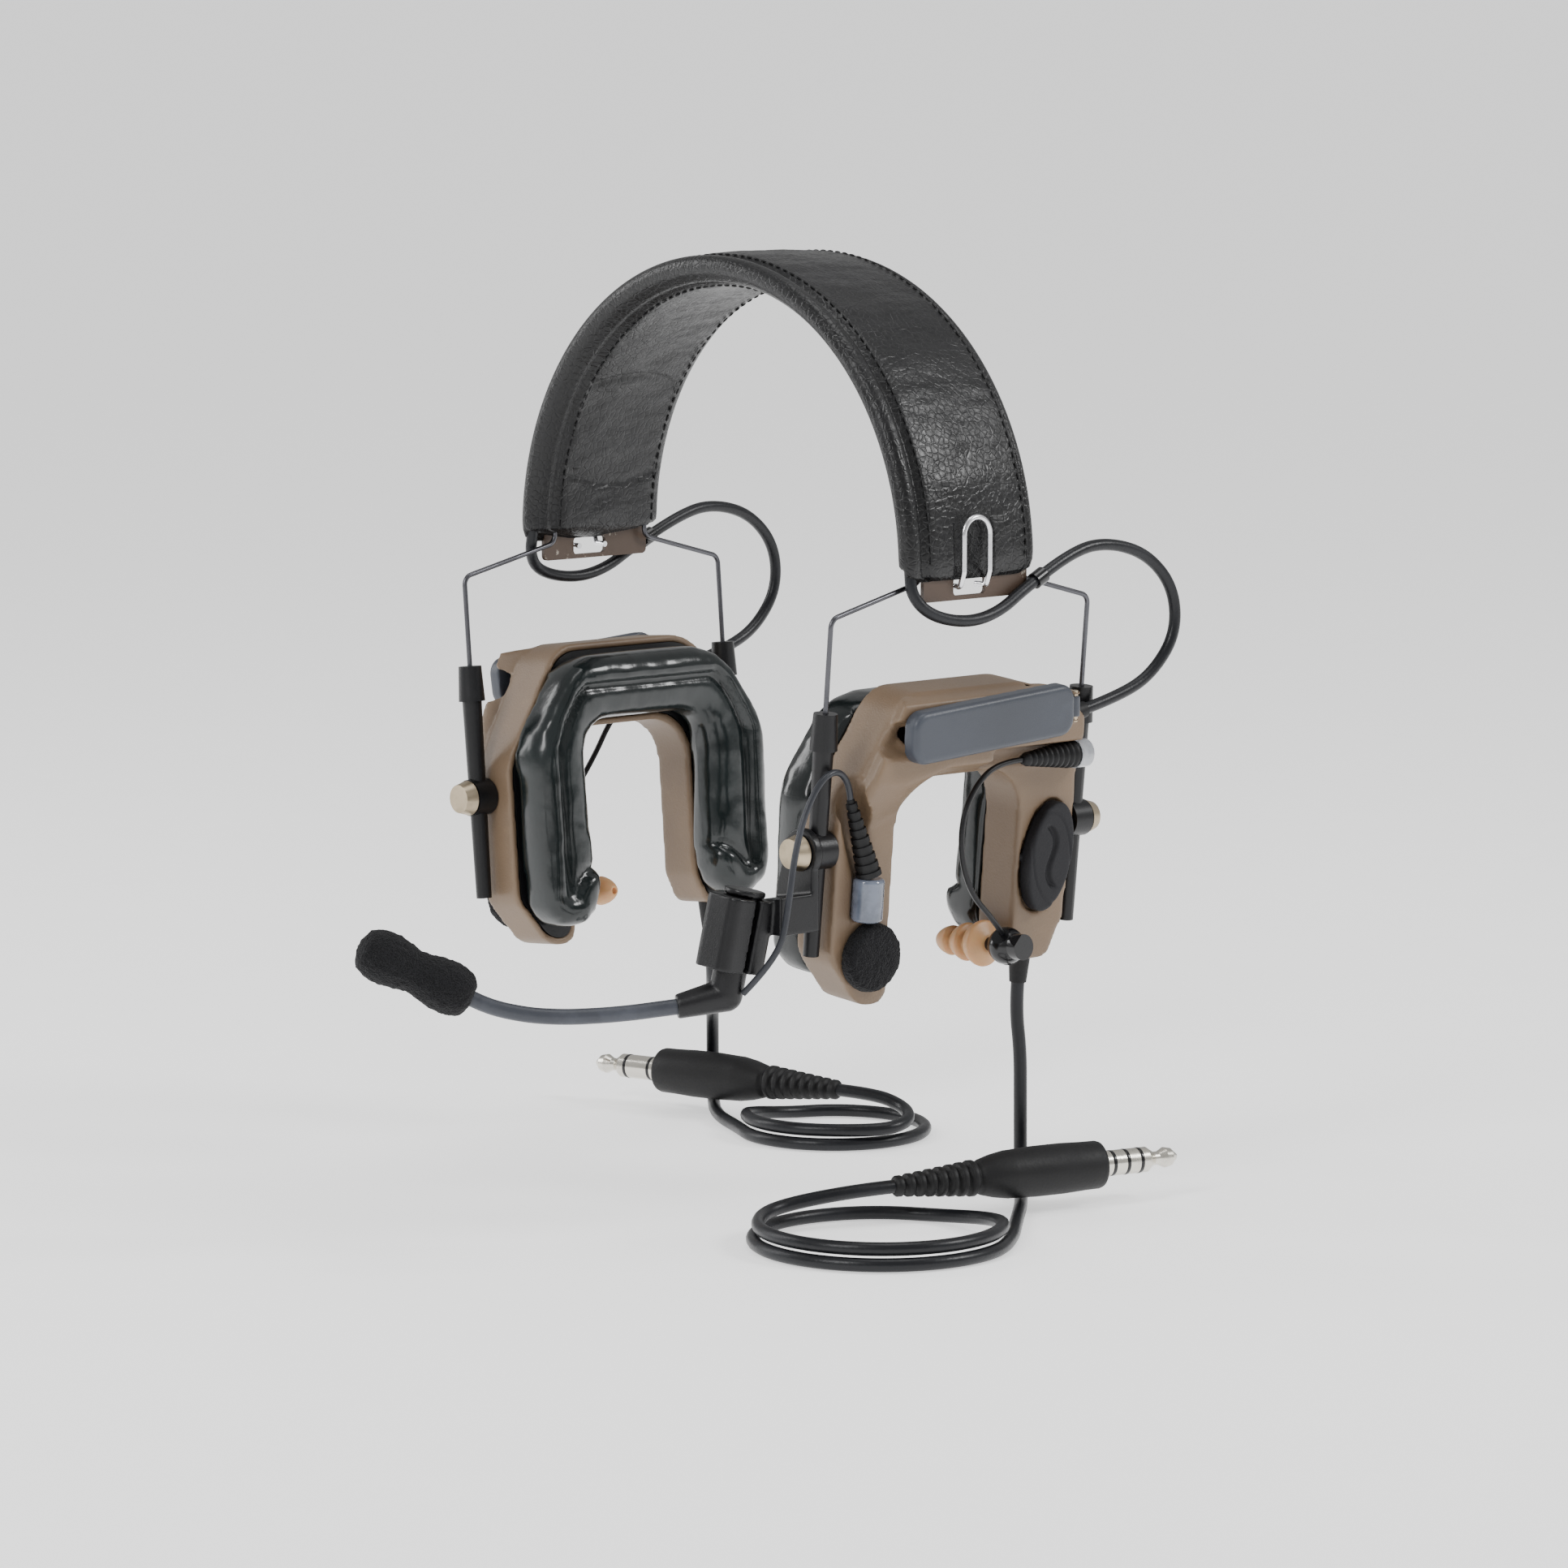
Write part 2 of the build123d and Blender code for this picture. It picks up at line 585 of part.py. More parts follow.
    cell_middle = Vector(*cup_point(side, cover_centre[0], cover_centre[1], cell_depth))
    with BuildPart() as battery:
        with BuildSketch(Plane(origin=cell_middle - cell_dir * battery_length / 2, z_dir=cell_dir)):
            Circle(battery_radius)
        extrude(amount=battery_length - 1.0)
        with BuildSketch(Plane(origin=cell_middle + cell_dir * (battery_length / 2 - 1), z_dir=cell_dir)):
            Circle(1.9)
        extrude(amount=1.0)
    save(battery, f"{word}_battery")

    with BuildPart() as battery_cover:
        with BuildSketch(cup_plane(side, bar_outer + cover_gap)):
            with Locations(Location((side * cover_centre[0], cover_centre[1], 0), (0, 0, side * battery_tilt))):
                RectangleRounded(cover_length, cover_height, 4.8)
        extrude(amount=cover_thickness)
        fillet(battery_cover.faces().sort_by(Axis(hinge_middle, cup_plane(side).z_dir))[-1].edges(), 1.6)
        with BuildSketch(Plane(origin=hinge_middle - pin_dir * knuckle_half, z_dir=pin_dir, x_dir=cell_dir)):
            Circle(knuckle_radius)
            with Locations((-hinge_reach / 2 - 0.3, 0)):
                Rectangle(hinge_reach + 0.6, 1.8)
        extrude(amount=2 * knuckle_half)
        with BuildSketch(Plane(origin=hinge_middle - pin_dir * knuckle_half, z_dir=pin_dir)):
            Circle(hinge_pin_radius + pin_clearance)
        extrude(amount=2 * knuckle_half, mode=Mode.SUBTRACT)
    save(battery_cover, f"{word}_battery_cover")
    with BuildPart() as cushion:
        with BuildSketch(cup_plane(side, cup_inner - cushion_gap)):
            add(outline(side, cushion_outline, cushion_fillets))
        extrude(amount=-cushion_thickness)
        fillet(cushion.faces().sort_by(Axis(cushion.part.center(), cup_plane(side).z_dir))[0].edges(), 4.0)
    save(cushion, f"{word}_cushion")

    with BuildPart() as mic_foam:
        with BuildSketch(cup_plane(side, cup_outer)):
            with Locations((side * foam_centre[0], foam_centre[1])):
                Circle(foam_radius)
        extrude(amount=foam_height)
        fillet(mic_foam.faces().sort_by(Axis(mic_foam.part.center(), cup_plane(side).z_dir))[-1].edges(), 1.8)
    save(mic_foam, f"{word}_ambient_mic_foam")

    with BuildPart() as ear_nut:
        with BuildSketch(ear_plane(side, ear_socket_rear)):
            Circle(ear_nut_radius)
        extrude(amount=ear_nut_length)
        chamfer(ear_nut.edges().group_by(Axis.Y)[-1], 1.0)
    save(ear_nut, f"{word}_earplug_connector")
    with BuildPart() as ear_relief:
        with BuildSketch(ear_plane(side, ear_socket_rear - ear_nut_length)):
            Circle(ear_nut_radius - 0.2)
        with BuildSketch(ear_plane(side, ear_relief_front)):
            Circle(1.5)
        loft()
    save(ear_relief, f"{word}_earplug_relief")

    gland_end = Vector(*mirrored_points(side, loop_points)[-1])
    with BuildPart() as glands:
        with BuildSketch(gland_plane(side)):
            Circle(gland_radius)
        with BuildSketch(Plane(origin=gland_end, z_dir=gland_plane(side).z_dir)):
            Circle(crossover_radius + 0.6)
        loft()
        with BuildSketch(foot_plane(side).offset(-3.5)):
            Circle(2.2)
        extrude(amount=3.5)
        with BuildSketch(foot_plane(side)):
            Circle(3.1)
        with BuildSketch(foot_plane(side).offset(lead_gland_length)):
            Circle(lead_radius + 0.5)
        loft()
    save(glands, f"{word}_cable_glands")

# ---------------------------------------------------------------- keypad, boom and microphone
with BuildPart() as keypad:
    with BuildSketch(cup_plane(1, cup_outer - keypad_sink)):
        add(tilted_oval(1, keypad_width, keypad_length))
    extrude(amount=keypad_sink + keypad_height)
    fillet(keypad.faces().sort_by(Axis(keypad.part.center(), cup_plane(1).z_dir))[-1].edges(), 1.0)
    with BuildSketch(Plane(origin=rocker_from, z_dir=(0, 1, 0))):
        Circle(rocker_radius)
    extrude(amount=rocker_length - 0.2)
save(keypad, "keypad")

mic_up = mic_end - mic_foot
with BuildPart() as mic_plug:
    with BuildSketch(Plane(origin=cup_point(1, mic_socket[0], mic_socket[1], mic_socket[3]), z_dir=straight(1, 0, 1))):
        Circle(mic_socket_radius)
    extrude(amount=mic_socket[2] - mic_socket[1] - 0.6)
    fillet(mic_plug.edges(), 1.0)
save(mic_plug, "mic_plug")

mic_ribs = 9
mic_step = mic_up.length / mic_ribs
with BuildPart() as mic_relief:
    for rib in range(mic_ribs):
        size = mic_relief_radius - (mic_relief_radius - mic_cable_radius - 0.7) * rib / (mic_ribs - 1)
        rib_foot = mic_foot + mic_up * (rib / mic_ribs)
        with BuildSketch(Plane(origin=rib_foot, z_dir=mic_up)):
            Circle(size)
        extrude(amount=mic_step * 0.6)
        with BuildSketch(Plane(origin=rib_foot, z_dir=mic_up)):
            Circle(size - 0.5)
        extrude(amount=mic_step)
save(mic_relief, "mic_relief")

mic_points = [
    (76.9, -40.5, -133.9), (78.2, -42.2, -128.9), (79.6, -48.0, -124.8), (79.8, -54.5, -127.8), (79.6, -60.0, -136.7),
    (79.6, -63.5, -148.4), (79.6, -65.5, -161.4), (78.8, -67.9, -173.5), (70.7, -73.6, -183.8),
]
save_cord(mic_points, mic_cable_radius, "mic_cable")

leg_top = Vector(68.0, -70.5, -157.0)
leg_foot = Vector(65.6, -75.3, -184.5)
leg_dir = (leg_foot - leg_top).normalized()
boom_points = [
    (58.0, -86.0, -187.5), (50.0, -98.7, -189.1), (42.0, -110.4, -189.6), (36.0, -118.9, -188.9), (30.1, -127.1, -186.6),
    (24.93, -134.43, -182.12),
]
arm_y = -(lug_outer_y + side_gap)
pivot = (pivot_offset, arm_y, pivot_z)
block_near = leg_top + leg_dir * 1.2
with BuildPart() as boom_bracket:
    with BuildSketch(Plane(origin=pivot, z_dir=(0, -1, 0), x_dir=(1, 0, 0))):
        with BuildLine():
            Polyline((-6.0, 0), (5.0, 0), (5.0, -21), (-9.5, -21), (-9.5, -10), close=True)
        make_face()
        Circle(bracket_eye_radius)
    extrude(amount=bracket_thickness)
    with BuildSketch(Plane(origin=(pivot_offset, arm_y, pivot_z), z_dir=(0, -1, 0), x_dir=(1, 0, 0))):
        with BuildLine():
            Polyline((5.0, -10.5), (5.0, -21), (-9.5, -21), (-9.5, -13), close=True)
        make_face()
    extrude(amount=14.0)
    with BuildSketch(Plane(origin=block_near, z_dir=leg_dir, x_dir=(1, 0, 0))):
        with Locations((0, 0.5)):
            RectangleRounded(13.0, 16.0, 3.0)
    extrude(amount=20.0)
    with BuildSketch(Plane(origin=leg_top, z_dir=leg_dir, x_dir=(1, 0, 0))):
        Circle(leg_radius + leg_clearance)
    extrude(amount=30.0, mode=Mode.SUBTRACT)
    with BuildSketch(Plane(origin=leg_top, z_dir=leg_dir, x_dir=(1, 0, 0))):
        with Locations((6.0, 0)):
            Rectangle(12.0, 1.6)
    extrude(amount=30.0, mode=Mode.SUBTRACT)
    with BuildSketch(Plane(origin=pivot, z_dir=(0, -1, 0), x_dir=(1, 0, 0))):
        Circle(pin_radius + pin_clearance)
    extrude(amount=bracket_thickness, mode=Mode.SUBTRACT)
save(boom_bracket, "boom_bracket")

sleeve_end = Vector(*boom_points[0])
neck_dir = (Vector(*boom_points[1]) - sleeve_end).normalized()
with BuildPart() as boom_leg:
    with BuildSketch(Plane(origin=leg_top - leg_dir * 0.8, z_dir=leg_dir)):
        Circle(leg_radius + 1.0)
    extrude(amount=1.6)
    with BuildSketch(Plane(origin=leg_top, z_dir=leg_dir)):
        Circle(leg_radius)
    extrude(amount=(leg_foot - leg_top).length)
    with Locations(leg_foot):
        Sphere(leg_radius)
    with BuildSketch(Plane(origin=leg_foot, z_dir=sleeve_end - leg_foot)):
        Circle(leg_radius)
    with BuildSketch(Plane(origin=sleeve_end, z_dir=neck_dir)):
        Circle(3.3)
    loft()
save(boom_leg, "boom_leg")

save_cord(boom_points, gooseneck_radius, "gooseneck")
boom_end = Vector(*boom_points[-1])
foam_dir = (boom_end - Vector(*boom_points[-2])).normalized()
foam_back = boom_end - foam_dir * 4.0
with BuildPart() as mic_capsule:
    with BuildSketch(Plane(origin=boom_end, z_dir=foam_dir)):
        Circle(capsule_radius)
    extrude(amount=capsule_length)
    fillet(mic_capsule.edges().sort_by(Axis(boom_end, foam_dir))[-1], 1.5)
save(mic_capsule, "mic_capsule")

lobe = foam_lobe_radius
foam_profile = Plane(origin=foam_back, x_dir=foam_dir, z_dir=foam_dir.cross(Vector(0, 0, 1)))
with BuildPart() as windscreen:
    with BuildSketch(foam_profile):
        with BuildLine():
            Line((0, 0), (0, 3.2))
            Spline((0, 3.2), (2.4, lobe - 1.6), (7.5, lobe), (12.5, lobe - 0.5), (16.3, lobe - 1.3), (20.0, lobe - 0.5),
                   (25.0, lobe), (30.2, lobe - 1.9), (33.0, 0), tangents=[(0.4, 1), (0, -1)])
            Line((33.0, 0), (0, 0))
        make_face()
    revolve(axis=Axis(foam_back, foam_dir))
    with BuildSketch(Plane(origin=foam_back, z_dir=foam_dir)):
        Circle(gooseneck_radius + 0.05)
    extrude(amount=4.0, mode=Mode.SUBTRACT)
    with BuildSketch(Plane(origin=boom_end, z_dir=foam_dir)):
        Circle(capsule_radius + 0.05)
    extrude(amount=capsule_length + 0.2, mode=Mode.SUBTRACT)
save(windscreen, "windscreen")

# ---------------------------------------------------------------- ear plugs
left_ear_points = [
    (81.81, 19.0, -127.83), (81.81, 12.0, -127.83), (82.0, 3.5, -131.0), (82.0, -3.5, -140.0), (82.0, -4.5, -152.0),
    (82.5, -0.9, -163.0), (82.0, 8.0, -171.0), (80.8, 12.5, -175.4),
]
right_ear_points = [
    (-81.81, 19.0, -127.83), (-81.81, 14.0, -127.83), (-82.8, 10.0, -132.5), (-84.0, 6.0, -141.0), (-84.0, -2.9, -152.4),
    (-83.5, -11.5, -168.0), (-81.2, -14.3, -174.0),
]
ear_sets = (
    ("left", left_ear_points, (80.0, 15.0, -179.2), (52.0, 15.4, -180.6)),
    ("right", right_ear_points, (-80.0, -15.6, -178.6), (-52.0, -13.0, -176.0)),
)
for word, points, middle, tip in ear_sets:
    save_cord(points, thin_radius, f"{word}_earplug_cable")
    centre = Vector(*middle)
    tip_dir = (Vector(*tip) - centre).normalized()
    cable_end = Vector(*points[-1])
    with BuildPart() as earplug_body:
        with Locations(centre):
            Sphere(5.2)
        with BuildSketch(Plane(origin=centre - tip_dir * 7.0, z_dir=tip_dir)):
            Circle(3.6)
        extrude(amount=7.0)
        with BuildSketch(Plane(origin=centre, z_dir=tip_dir)):
            Circle(2.0)
        extrude(amount=16.0)
        with BuildSketch(Plane(origin=centre, z_dir=centre - cable_end)):
            Circle(3.0)
        with BuildSketch(Plane(origin=centre, z_dir=cable_end - centre)):
            Circle(1.6)
        extrude(amount=(cable_end - centre).length)
        with BuildSketch(Plane(origin=cable_end, z_dir=cable_end - Vector(*points[-2]))):
            Circle(8.0)
        extrude(amount=-6.0, mode=Mode.SUBTRACT)
    save(earplug_body, f"{word}_earplug_body")
    flange = Plane(origin=centre + tip_dir * 7.0, x_dir=tip_dir, z_dir=tip_dir.cross(Vector(0, 0, 1)))
    with BuildPart() as ear_tip:
        with BuildSketch(flange):
            with BuildLine():
                Polyline((0, 2.05), (0, 4.6), (-0.6, 6.3), (0.2, 6.5), (3.0, 5.9), (7.2, 3.2), (6.0, 5.2), (6.8, 5.4),
                         (9.6, 4.6), (13.4, 2.7), (12.2, 4.0), (13.0, 4.2), (16.5, 3.4), (19.5, 1.6), (20.4, 0),
                         (9.2, 0), (9.2, 2.05), close=True)
            make_face()
        revolve(axis=Axis(flange.origin, tip_dir))
    save(ear_tip, f"{word}_ear_tip")

# ---------------------------------------------------------------- leads and plugs
left_lead_points = [
    (65.05, 34.0, -193.12), (64.35, 34.0, -201.1), (64.9, 35.3, -213.0), (64.6, 35.7, -225.5),
    (64.6, 35.9, -251.3), (83.5, 18.0, -251.3), (99.5, 0.4, -251.3), (115.4, -16.4, -251.3),
    (125.4, -31.8, -251.3), (126.3, -50.2, -251.3), (118.0, -66.6, -251.3), (102.6, -76.6, -251.3),
    (84.2, -77.5, -251.3), (67.8, -69.2, -251.3), (57.8, -53.8, -251.3), (56.9, -35.4, -251.3),
    (65.2, -19.0, -251.3), (80.8, -9.5, -251.3), (98.8, -9.1, -249.3), (114.4, -17.5, -247.3),
    (123.9, -32.3, -247.3), (124.9, -49.9, -247.3), (116.9, -65.6, -247.3), (102.1, -75.1, -247.3),
    (84.5, -76.1, -247.3), (68.8, -68.1, -247.3), (59.3, -53.3, -246.4),
]
right_lead_points = [
    (-65.05, 34.0, -193.12), (-64.0, 34.0, -205.07), (-78.0, 46.2, -216.0), (-92.0, 58.6, -226.0),
    (-92.5, 59.1, -251.3), (-72.0, 42.5, -251.3), (-52.7, 34.2, -251.3), (-39.8, 27.6, -251.3),
    (-25.3, 28.4, -251.3), (-13.2, 36.3, -251.3), (-6.6, 49.2, -251.3), (-7.4, 63.7, -251.3),
    (-15.3, 75.8, -251.3), (-28.2, 82.4, -251.3), (-42.7, 81.6, -251.3), (-54.7, 73.6, -251.3),
    (-60.7, 60.7, -251.3), (-59.4, 46.8, -249.3), (-51.7, 35.3, -247.3), (-39.5, 29.1, -247.3),
    (-25.8, 29.8, -247.3), (-14.3, 37.3, -247.3), (-4.7, 47.9, -247.0), (-4.0, 55.0, -246.2),
    (-7.6, 61.2, -245.0), (-14.1, 64.1, -243.2),
]
plug_ends = {
    "left": ((75.8, -23.5, -242.1), (98.2, 63.7, -241.8)),
    "right": ((-36.2, 59.3, -241.0), (-124.2, 40.3, -242.2)),
}
body_end = plug_relief_length + plug_body_length
for word, points in (("left", left_lead_points), ("right", right_lead_points)):
    relief_end = Vector(*plug_ends[word][0])
    plug_dir = (Vector(*plug_ends[word][1]) - relief_end).normalized()
    before = relief_end - plug_dir * 13.0
    save_cord(points + [(before.X, before.Y, before.Z), (relief_end.X, relief_end.Y, relief_end.Z)], lead_radius,
              f"{word}_lead")
    profile = Plane(origin=relief_end, x_dir=plug_dir, z_dir=plug_dir.cross(Vector(0, 0, 1)))
    with BuildPart() as plug_body:
        with BuildSketch(profile):
            with BuildLine():
                ribs = []
                for rib in range(plug_ribs):
                    start = plug_relief_length * rib / plug_ribs
                    size = 2.4 + (plug_neck_radius - 2.4) * rib / (plug_ribs - 1)
                    ribs += [(start, size), (start + 2.1, size + 0.25), (start + 2.1, size - 0.4), (start + 3.0, size - 0.4)]
                Polyline((0, 0), *ribs, (plug_relief_length, plug_neck_radius), (plug_relief_length + 9, plug_body_radius - 0.4),
                         (plug_relief_length + 18, plug_body_radius), (body_end - 6, plug_collar_radius + 0.2),
                         (body_end, plug_collar_radius), (body_end, 0), close=True)
            make_face()
        revolve(axis=Axis(relief_end, plug_dir))
    save(plug_body, f"{word}_plug_body")
    with BuildPart() as plug_pin:
        with BuildSketch(profile):
            pin_r = plug_pin_radius
            with BuildLine():
                Polyline((body_end, 0), (body_end, pin_r), (body_end + 15, pin_r), (body_end + 17.5, 1.9),
                         (body_end + 19, 1.9), (body_end + 21, 2.9), (body_end + 23, 2.5), (body_end + plug_pin_length, 0.8),
                         (body_end + plug_pin_length, 0), close=True)
            make_face()
        revolve(axis=Axis(relief_end, plug_dir))
    save(plug_pin, f"{word}_plug_pin")
    print(f"{word}_plug_pin foot", relief_end + plug_dir * body_end, "dir", plug_dir)
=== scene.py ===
import math

import bmesh
import bpy
import numpy as np
from mathutils import Matrix, Vector, noise


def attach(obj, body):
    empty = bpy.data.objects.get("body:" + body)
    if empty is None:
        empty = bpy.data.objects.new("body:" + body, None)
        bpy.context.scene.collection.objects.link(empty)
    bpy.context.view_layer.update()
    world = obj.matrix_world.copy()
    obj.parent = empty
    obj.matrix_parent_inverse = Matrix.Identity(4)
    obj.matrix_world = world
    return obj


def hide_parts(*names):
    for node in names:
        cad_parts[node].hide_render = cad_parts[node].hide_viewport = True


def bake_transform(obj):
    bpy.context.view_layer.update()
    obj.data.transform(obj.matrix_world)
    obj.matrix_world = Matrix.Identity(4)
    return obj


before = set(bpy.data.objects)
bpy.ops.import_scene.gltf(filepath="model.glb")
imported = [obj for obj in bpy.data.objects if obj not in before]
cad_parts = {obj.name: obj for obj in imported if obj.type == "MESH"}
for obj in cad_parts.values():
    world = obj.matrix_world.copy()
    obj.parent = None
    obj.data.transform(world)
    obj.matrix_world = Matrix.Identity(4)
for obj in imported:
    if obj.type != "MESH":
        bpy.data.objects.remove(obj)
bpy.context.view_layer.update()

bl_info = {
    "name": "Radio headset",
    "version": (1, 0, 0),
    "blender": (4, 5, 0),
    "location": "View3D > Sidebar > Headset",
    "description": "Builds the leather, cords, foams and moulded parts of a radio headset on its frame",
    "category": "Object",
}

MM = 0.001
LEAN = math.radians(5.0)
PIVOT_X, PIVOT_Z = 72.05, -147.55
BAND_END = -73.85
ARCH = 78.1
BEAD_Y, BEAD_ARCH = -21.15, 79.4
LEFT, RIGHT = 1, -1
WORDS = {LEFT: "left", RIGHT: "right"}


# ------------------------------------------------------------------ places
def metres(points):
    """Points in millimetres as vectors in metres."""
    return [Vector(p) * MM for p in points]


def cup_point(side, rear, height, depth):
    """A place on a cup, in millimetres from its pivot: rearwards, up the lean and outwards."""
    x = side * (PIVOT_X + math.sin(LEAN) * height + math.cos(LEAN) * depth)
    z = PIVOT_Z + math.cos(LEAN) * height - math.sin(LEAN) * depth
    return Vector((x, rear, z)) * MM


def cup_places(side, points):
    """Rear, height and depth on the cup of many points, in millimetres."""
    x = side * points[:, 0] / MM - PIVOT_X
    z = points[:, 2] / MM - PIVOT_Z
    height = math.sin(LEAN) * x + math.cos(LEAN) * z
    depth = math.cos(LEAN) * x - math.sin(LEAN) * z
    return points[:, 1] / MM, height, depth


def row_places(side, rear, height, depth):
    """The way back from cup_places, in metres."""
    x = side * (PIVOT_X + math.sin(LEAN) * height + math.cos(LEAN) * depth)
    z = PIVOT_Z + math.cos(LEAN) * height - math.sin(LEAN) * depth
    return np.stack([x, rear, z], axis=1) * MM


def mirrored(points):
    """The same route on the other side of the head."""
    return [(-x, y, z) for x, y, z in points]


# ------------------------------------------------------------------ routes of the cords, in millimetres
SAG = [(79.4, -21.15, -73.85), (80.3, -21.4, -79.8), (82.1, -17.6, -84.7), (82.7, -9.5, -87.5),
       (82.8, 0.5, -88.2), (82.6, 10.2, -85.8), (82.3, 18.5, -81.0), (82.0, 26.5, -77.2)]
LOOP = [(82.0, 26.5, -77.2), (81.55, 38.5, -71.5), (82.0, 51.5, -70.0), (82.8, 66.0, -74.0),
        (83.4, 76.0, -84.0), (83.6, 77.0, -97.0), (83.0, 68.5, -107.5), (82.2, 57.0, -112.9),
        (81.0, 43.6, -115.9)]
MIC = [(76.9, -40.5, -133.9), (78.2, -42.2, -128.9), (79.6, -48.0, -124.8), (79.8, -54.5, -127.8),
       (79.6, -60.0, -136.7), (79.6, -63.5, -148.4), (79.6, -65.5, -161.4), (78.8, -67.9, -173.5),
       (70.7, -73.6, -183.8)]
BOOM = [(58, -86, -187.5), (50, -98.7, -189.1), (42, -110.4, -189.6), (36, -118.9, -188.9),
        (30.1, -127.1, -186.6), (24.93, -134.43, -182.12)]
LEFT_EAR = [(81.81, 19, -127.83), (81.81, 12, -127.83), (82, 3.5, -131), (82, -3.5, -140),
            (82, -4.5, -152), (82.5, -0.9, -163), (82, 8, -171), (80.8, 12.5, -175.4)]
RIGHT_EAR = [(-81.81, 19, -127.83), (-81.81, 14, -127.83), (-82.8, 10, -132.5), (-84, 6, -141),
             (-84, -2.9, -152.4), (-83.5, -11.5, -168), (-81.2, -14.3, -174)]
LEFT_LEAD = [(65.05, 34, -193.12), (64.35, 34, -201.1), (64.9, 35.3, -213), (64.6, 35.7, -225.5),
             (64.6, 35.9, -251.3), (83.5, 18, -251.3), (99.5, 0.4, -251.3), (115.4, -16.4, -251.3),
             (125.4, -31.8, -251.3), (126.3, -50.2, -251.3), (118, -66.6, -251.3), (102.6, -76.6, -251.3),
             (84.2, -77.5, -251.3), (67.8, -69.2, -251.3), (57.8, -53.8, -251.3), (56.9, -35.4, -251.3),
             (65.2, -19, -251.3), (80.8, -9.5, -251.3), (98.8, -9.1, -249.3), (114.4, -17.5, -247.3),
             (123.9, -32.3, -247.3), (124.9, -49.9, -247.3), (116.9, -65.6, -247.3), (102.1, -75.1, -247.3),
             (84.5, -76.1, -247.3), (68.8, -68.1, -247.3), (59.3, -53.3, -246.4)]
RIGHT_LEAD = [(-65.05, 34, -193.12), (-64, 34, -205.07), (-78, 46.2, -216), (-92, 58.6, -226),
              (-92.5, 59.1, -251.3), (-72, 42.5, -251.3), (-52.7, 34.2, -251.3), (-39.8, 27.6, -251.3),
              (-25.3, 28.4, -251.3), (-13.2, 36.3, -251.3), (-6.6, 49.2, -251.3), (-7.4, 63.7, -251.3),
              (-15.3, 75.8, -251.3), (-28.2, 82.4, -251.3), (-42.7, 81.6, -251.3), (-54.7, 73.6, -251.3),
              (-60.7, 60.7, -251.3), (-59.4, 46.8, -249.3), (-51.7, 35.3, -247.3), (-39.5, 29.1, -247.3),
              (-25.8, 29.8, -247.3), (-14.3, 37.3, -247.3), (-4.7, 47.9, -247.0), (-4, 55, -246.2),
              (-7.6, 61.2, -245), (-14.1, 64.1, -243.2)]
PLUG_FOOT = {LEFT: (75.8, -23.5, -242.1), RIGHT: (-36.2, 59.3, -241.0)}
PLUG_AIM = {LEFT: (0.248802, 0.968549, 0.003332), RIGHT: (-0.977389, -0.211027, -0.013328)}
PIN_FOOT = {LEFT: (91.9721, 39.4557, -241.883), RIGHT: (-99.7303, 45.5832, -241.866)}
EAR_BALL = {LEFT: (80, 15, -179.2), RIGHT: (-80, -15.6, -178.6)}
EAR_TIP = {LEFT: (52, 15.4, -180.6), RIGHT: (-52, -13, -176)}
CUSHION_RIM = [(-23.5, -31), (-28, -38.5), (-38, -38.5), (-44, -33), (-44, 15), (-40, 24), (-34, 33), (-27, 38.5),
               (27, 38.5), (34, 33), (40, 24), (44, 15), (44, -30), (37, -35.5), (29, -35.5), (23.5, -29)]


# ------------------------------------------------------------------ properties
class HeadsetSizes(bpy.types.PropertyGroup):
    """Sizes of the soft and small pieces."""

    cord_radius: bpy.props.FloatProperty(
        name="Cord radius", description="Radius of the cord over the band", default=0.00165, unit="LENGTH")
    lead_radius: bpy.props.FloatProperty(
        name="Lead radius", description="Radius of the two plug leads", default=0.0019, unit="LENGTH")
    thin_radius: bpy.props.FloatProperty(
        name="Ear cord radius", description="Radius of the ear plugs' cords", default=0.0008, unit="LENGTH")
    mic_radius: bpy.props.FloatProperty(
        name="Mic cord radius", description="Radius of the cord to the boom", default=0.0009, unit="LENGTH")
    stitch_pitch: bpy.props.FloatProperty(
        name="Stitch pitch", description="Distance between stitches", default=0.0030, unit="LENGTH")
    stitch_length: bpy.props.FloatProperty(
        name="Stitch length", description="Length of one stitch", default=0.0021, unit="LENGTH")
    pad_pressure: bpy.props.FloatProperty(
        name="Cushion pressure", description="Pressure that fills the ear cushions", default=4.0)
    wall_voxel: bpy.props.FloatProperty(
        name="Shell mesh size", description="Mesh size of the moulded shells", default=0.00075, unit="LENGTH")
    ring_count: bpy.props.IntProperty(
        name="Plug rings", description="Insulating rings on each plug pin", default=3, min=1, max=6)


class HeadsetColours(bpy.types.PropertyGroup):
    """Colours of the finishes."""

    shell: bpy.props.FloatVectorProperty(
        name="Shell", description="Moulded shell", default=(0.168, 0.112, 0.068), subtype="COLOR")
    leather: bpy.props.FloatVectorProperty(
        name="Leather", description="Headband leather", default=(0.0032, 0.0032, 0.0038), subtype="COLOR")
    vinyl: bpy.props.FloatVectorProperty(
        name="Vinyl", description="Ear cushion cover", default=(0.0034, 0.0058, 0.0060), subtype="COLOR")
    cover: bpy.props.FloatVectorProperty(
        name="Battery cover", description="Battery covers", default=(0.040, 0.046, 0.060), subtype="COLOR")
    tip: bpy.props.FloatVectorProperty(
        name="Ear tip", description="Ear tips", default=(0.56, 0.31, 0.14), subtype="COLOR")


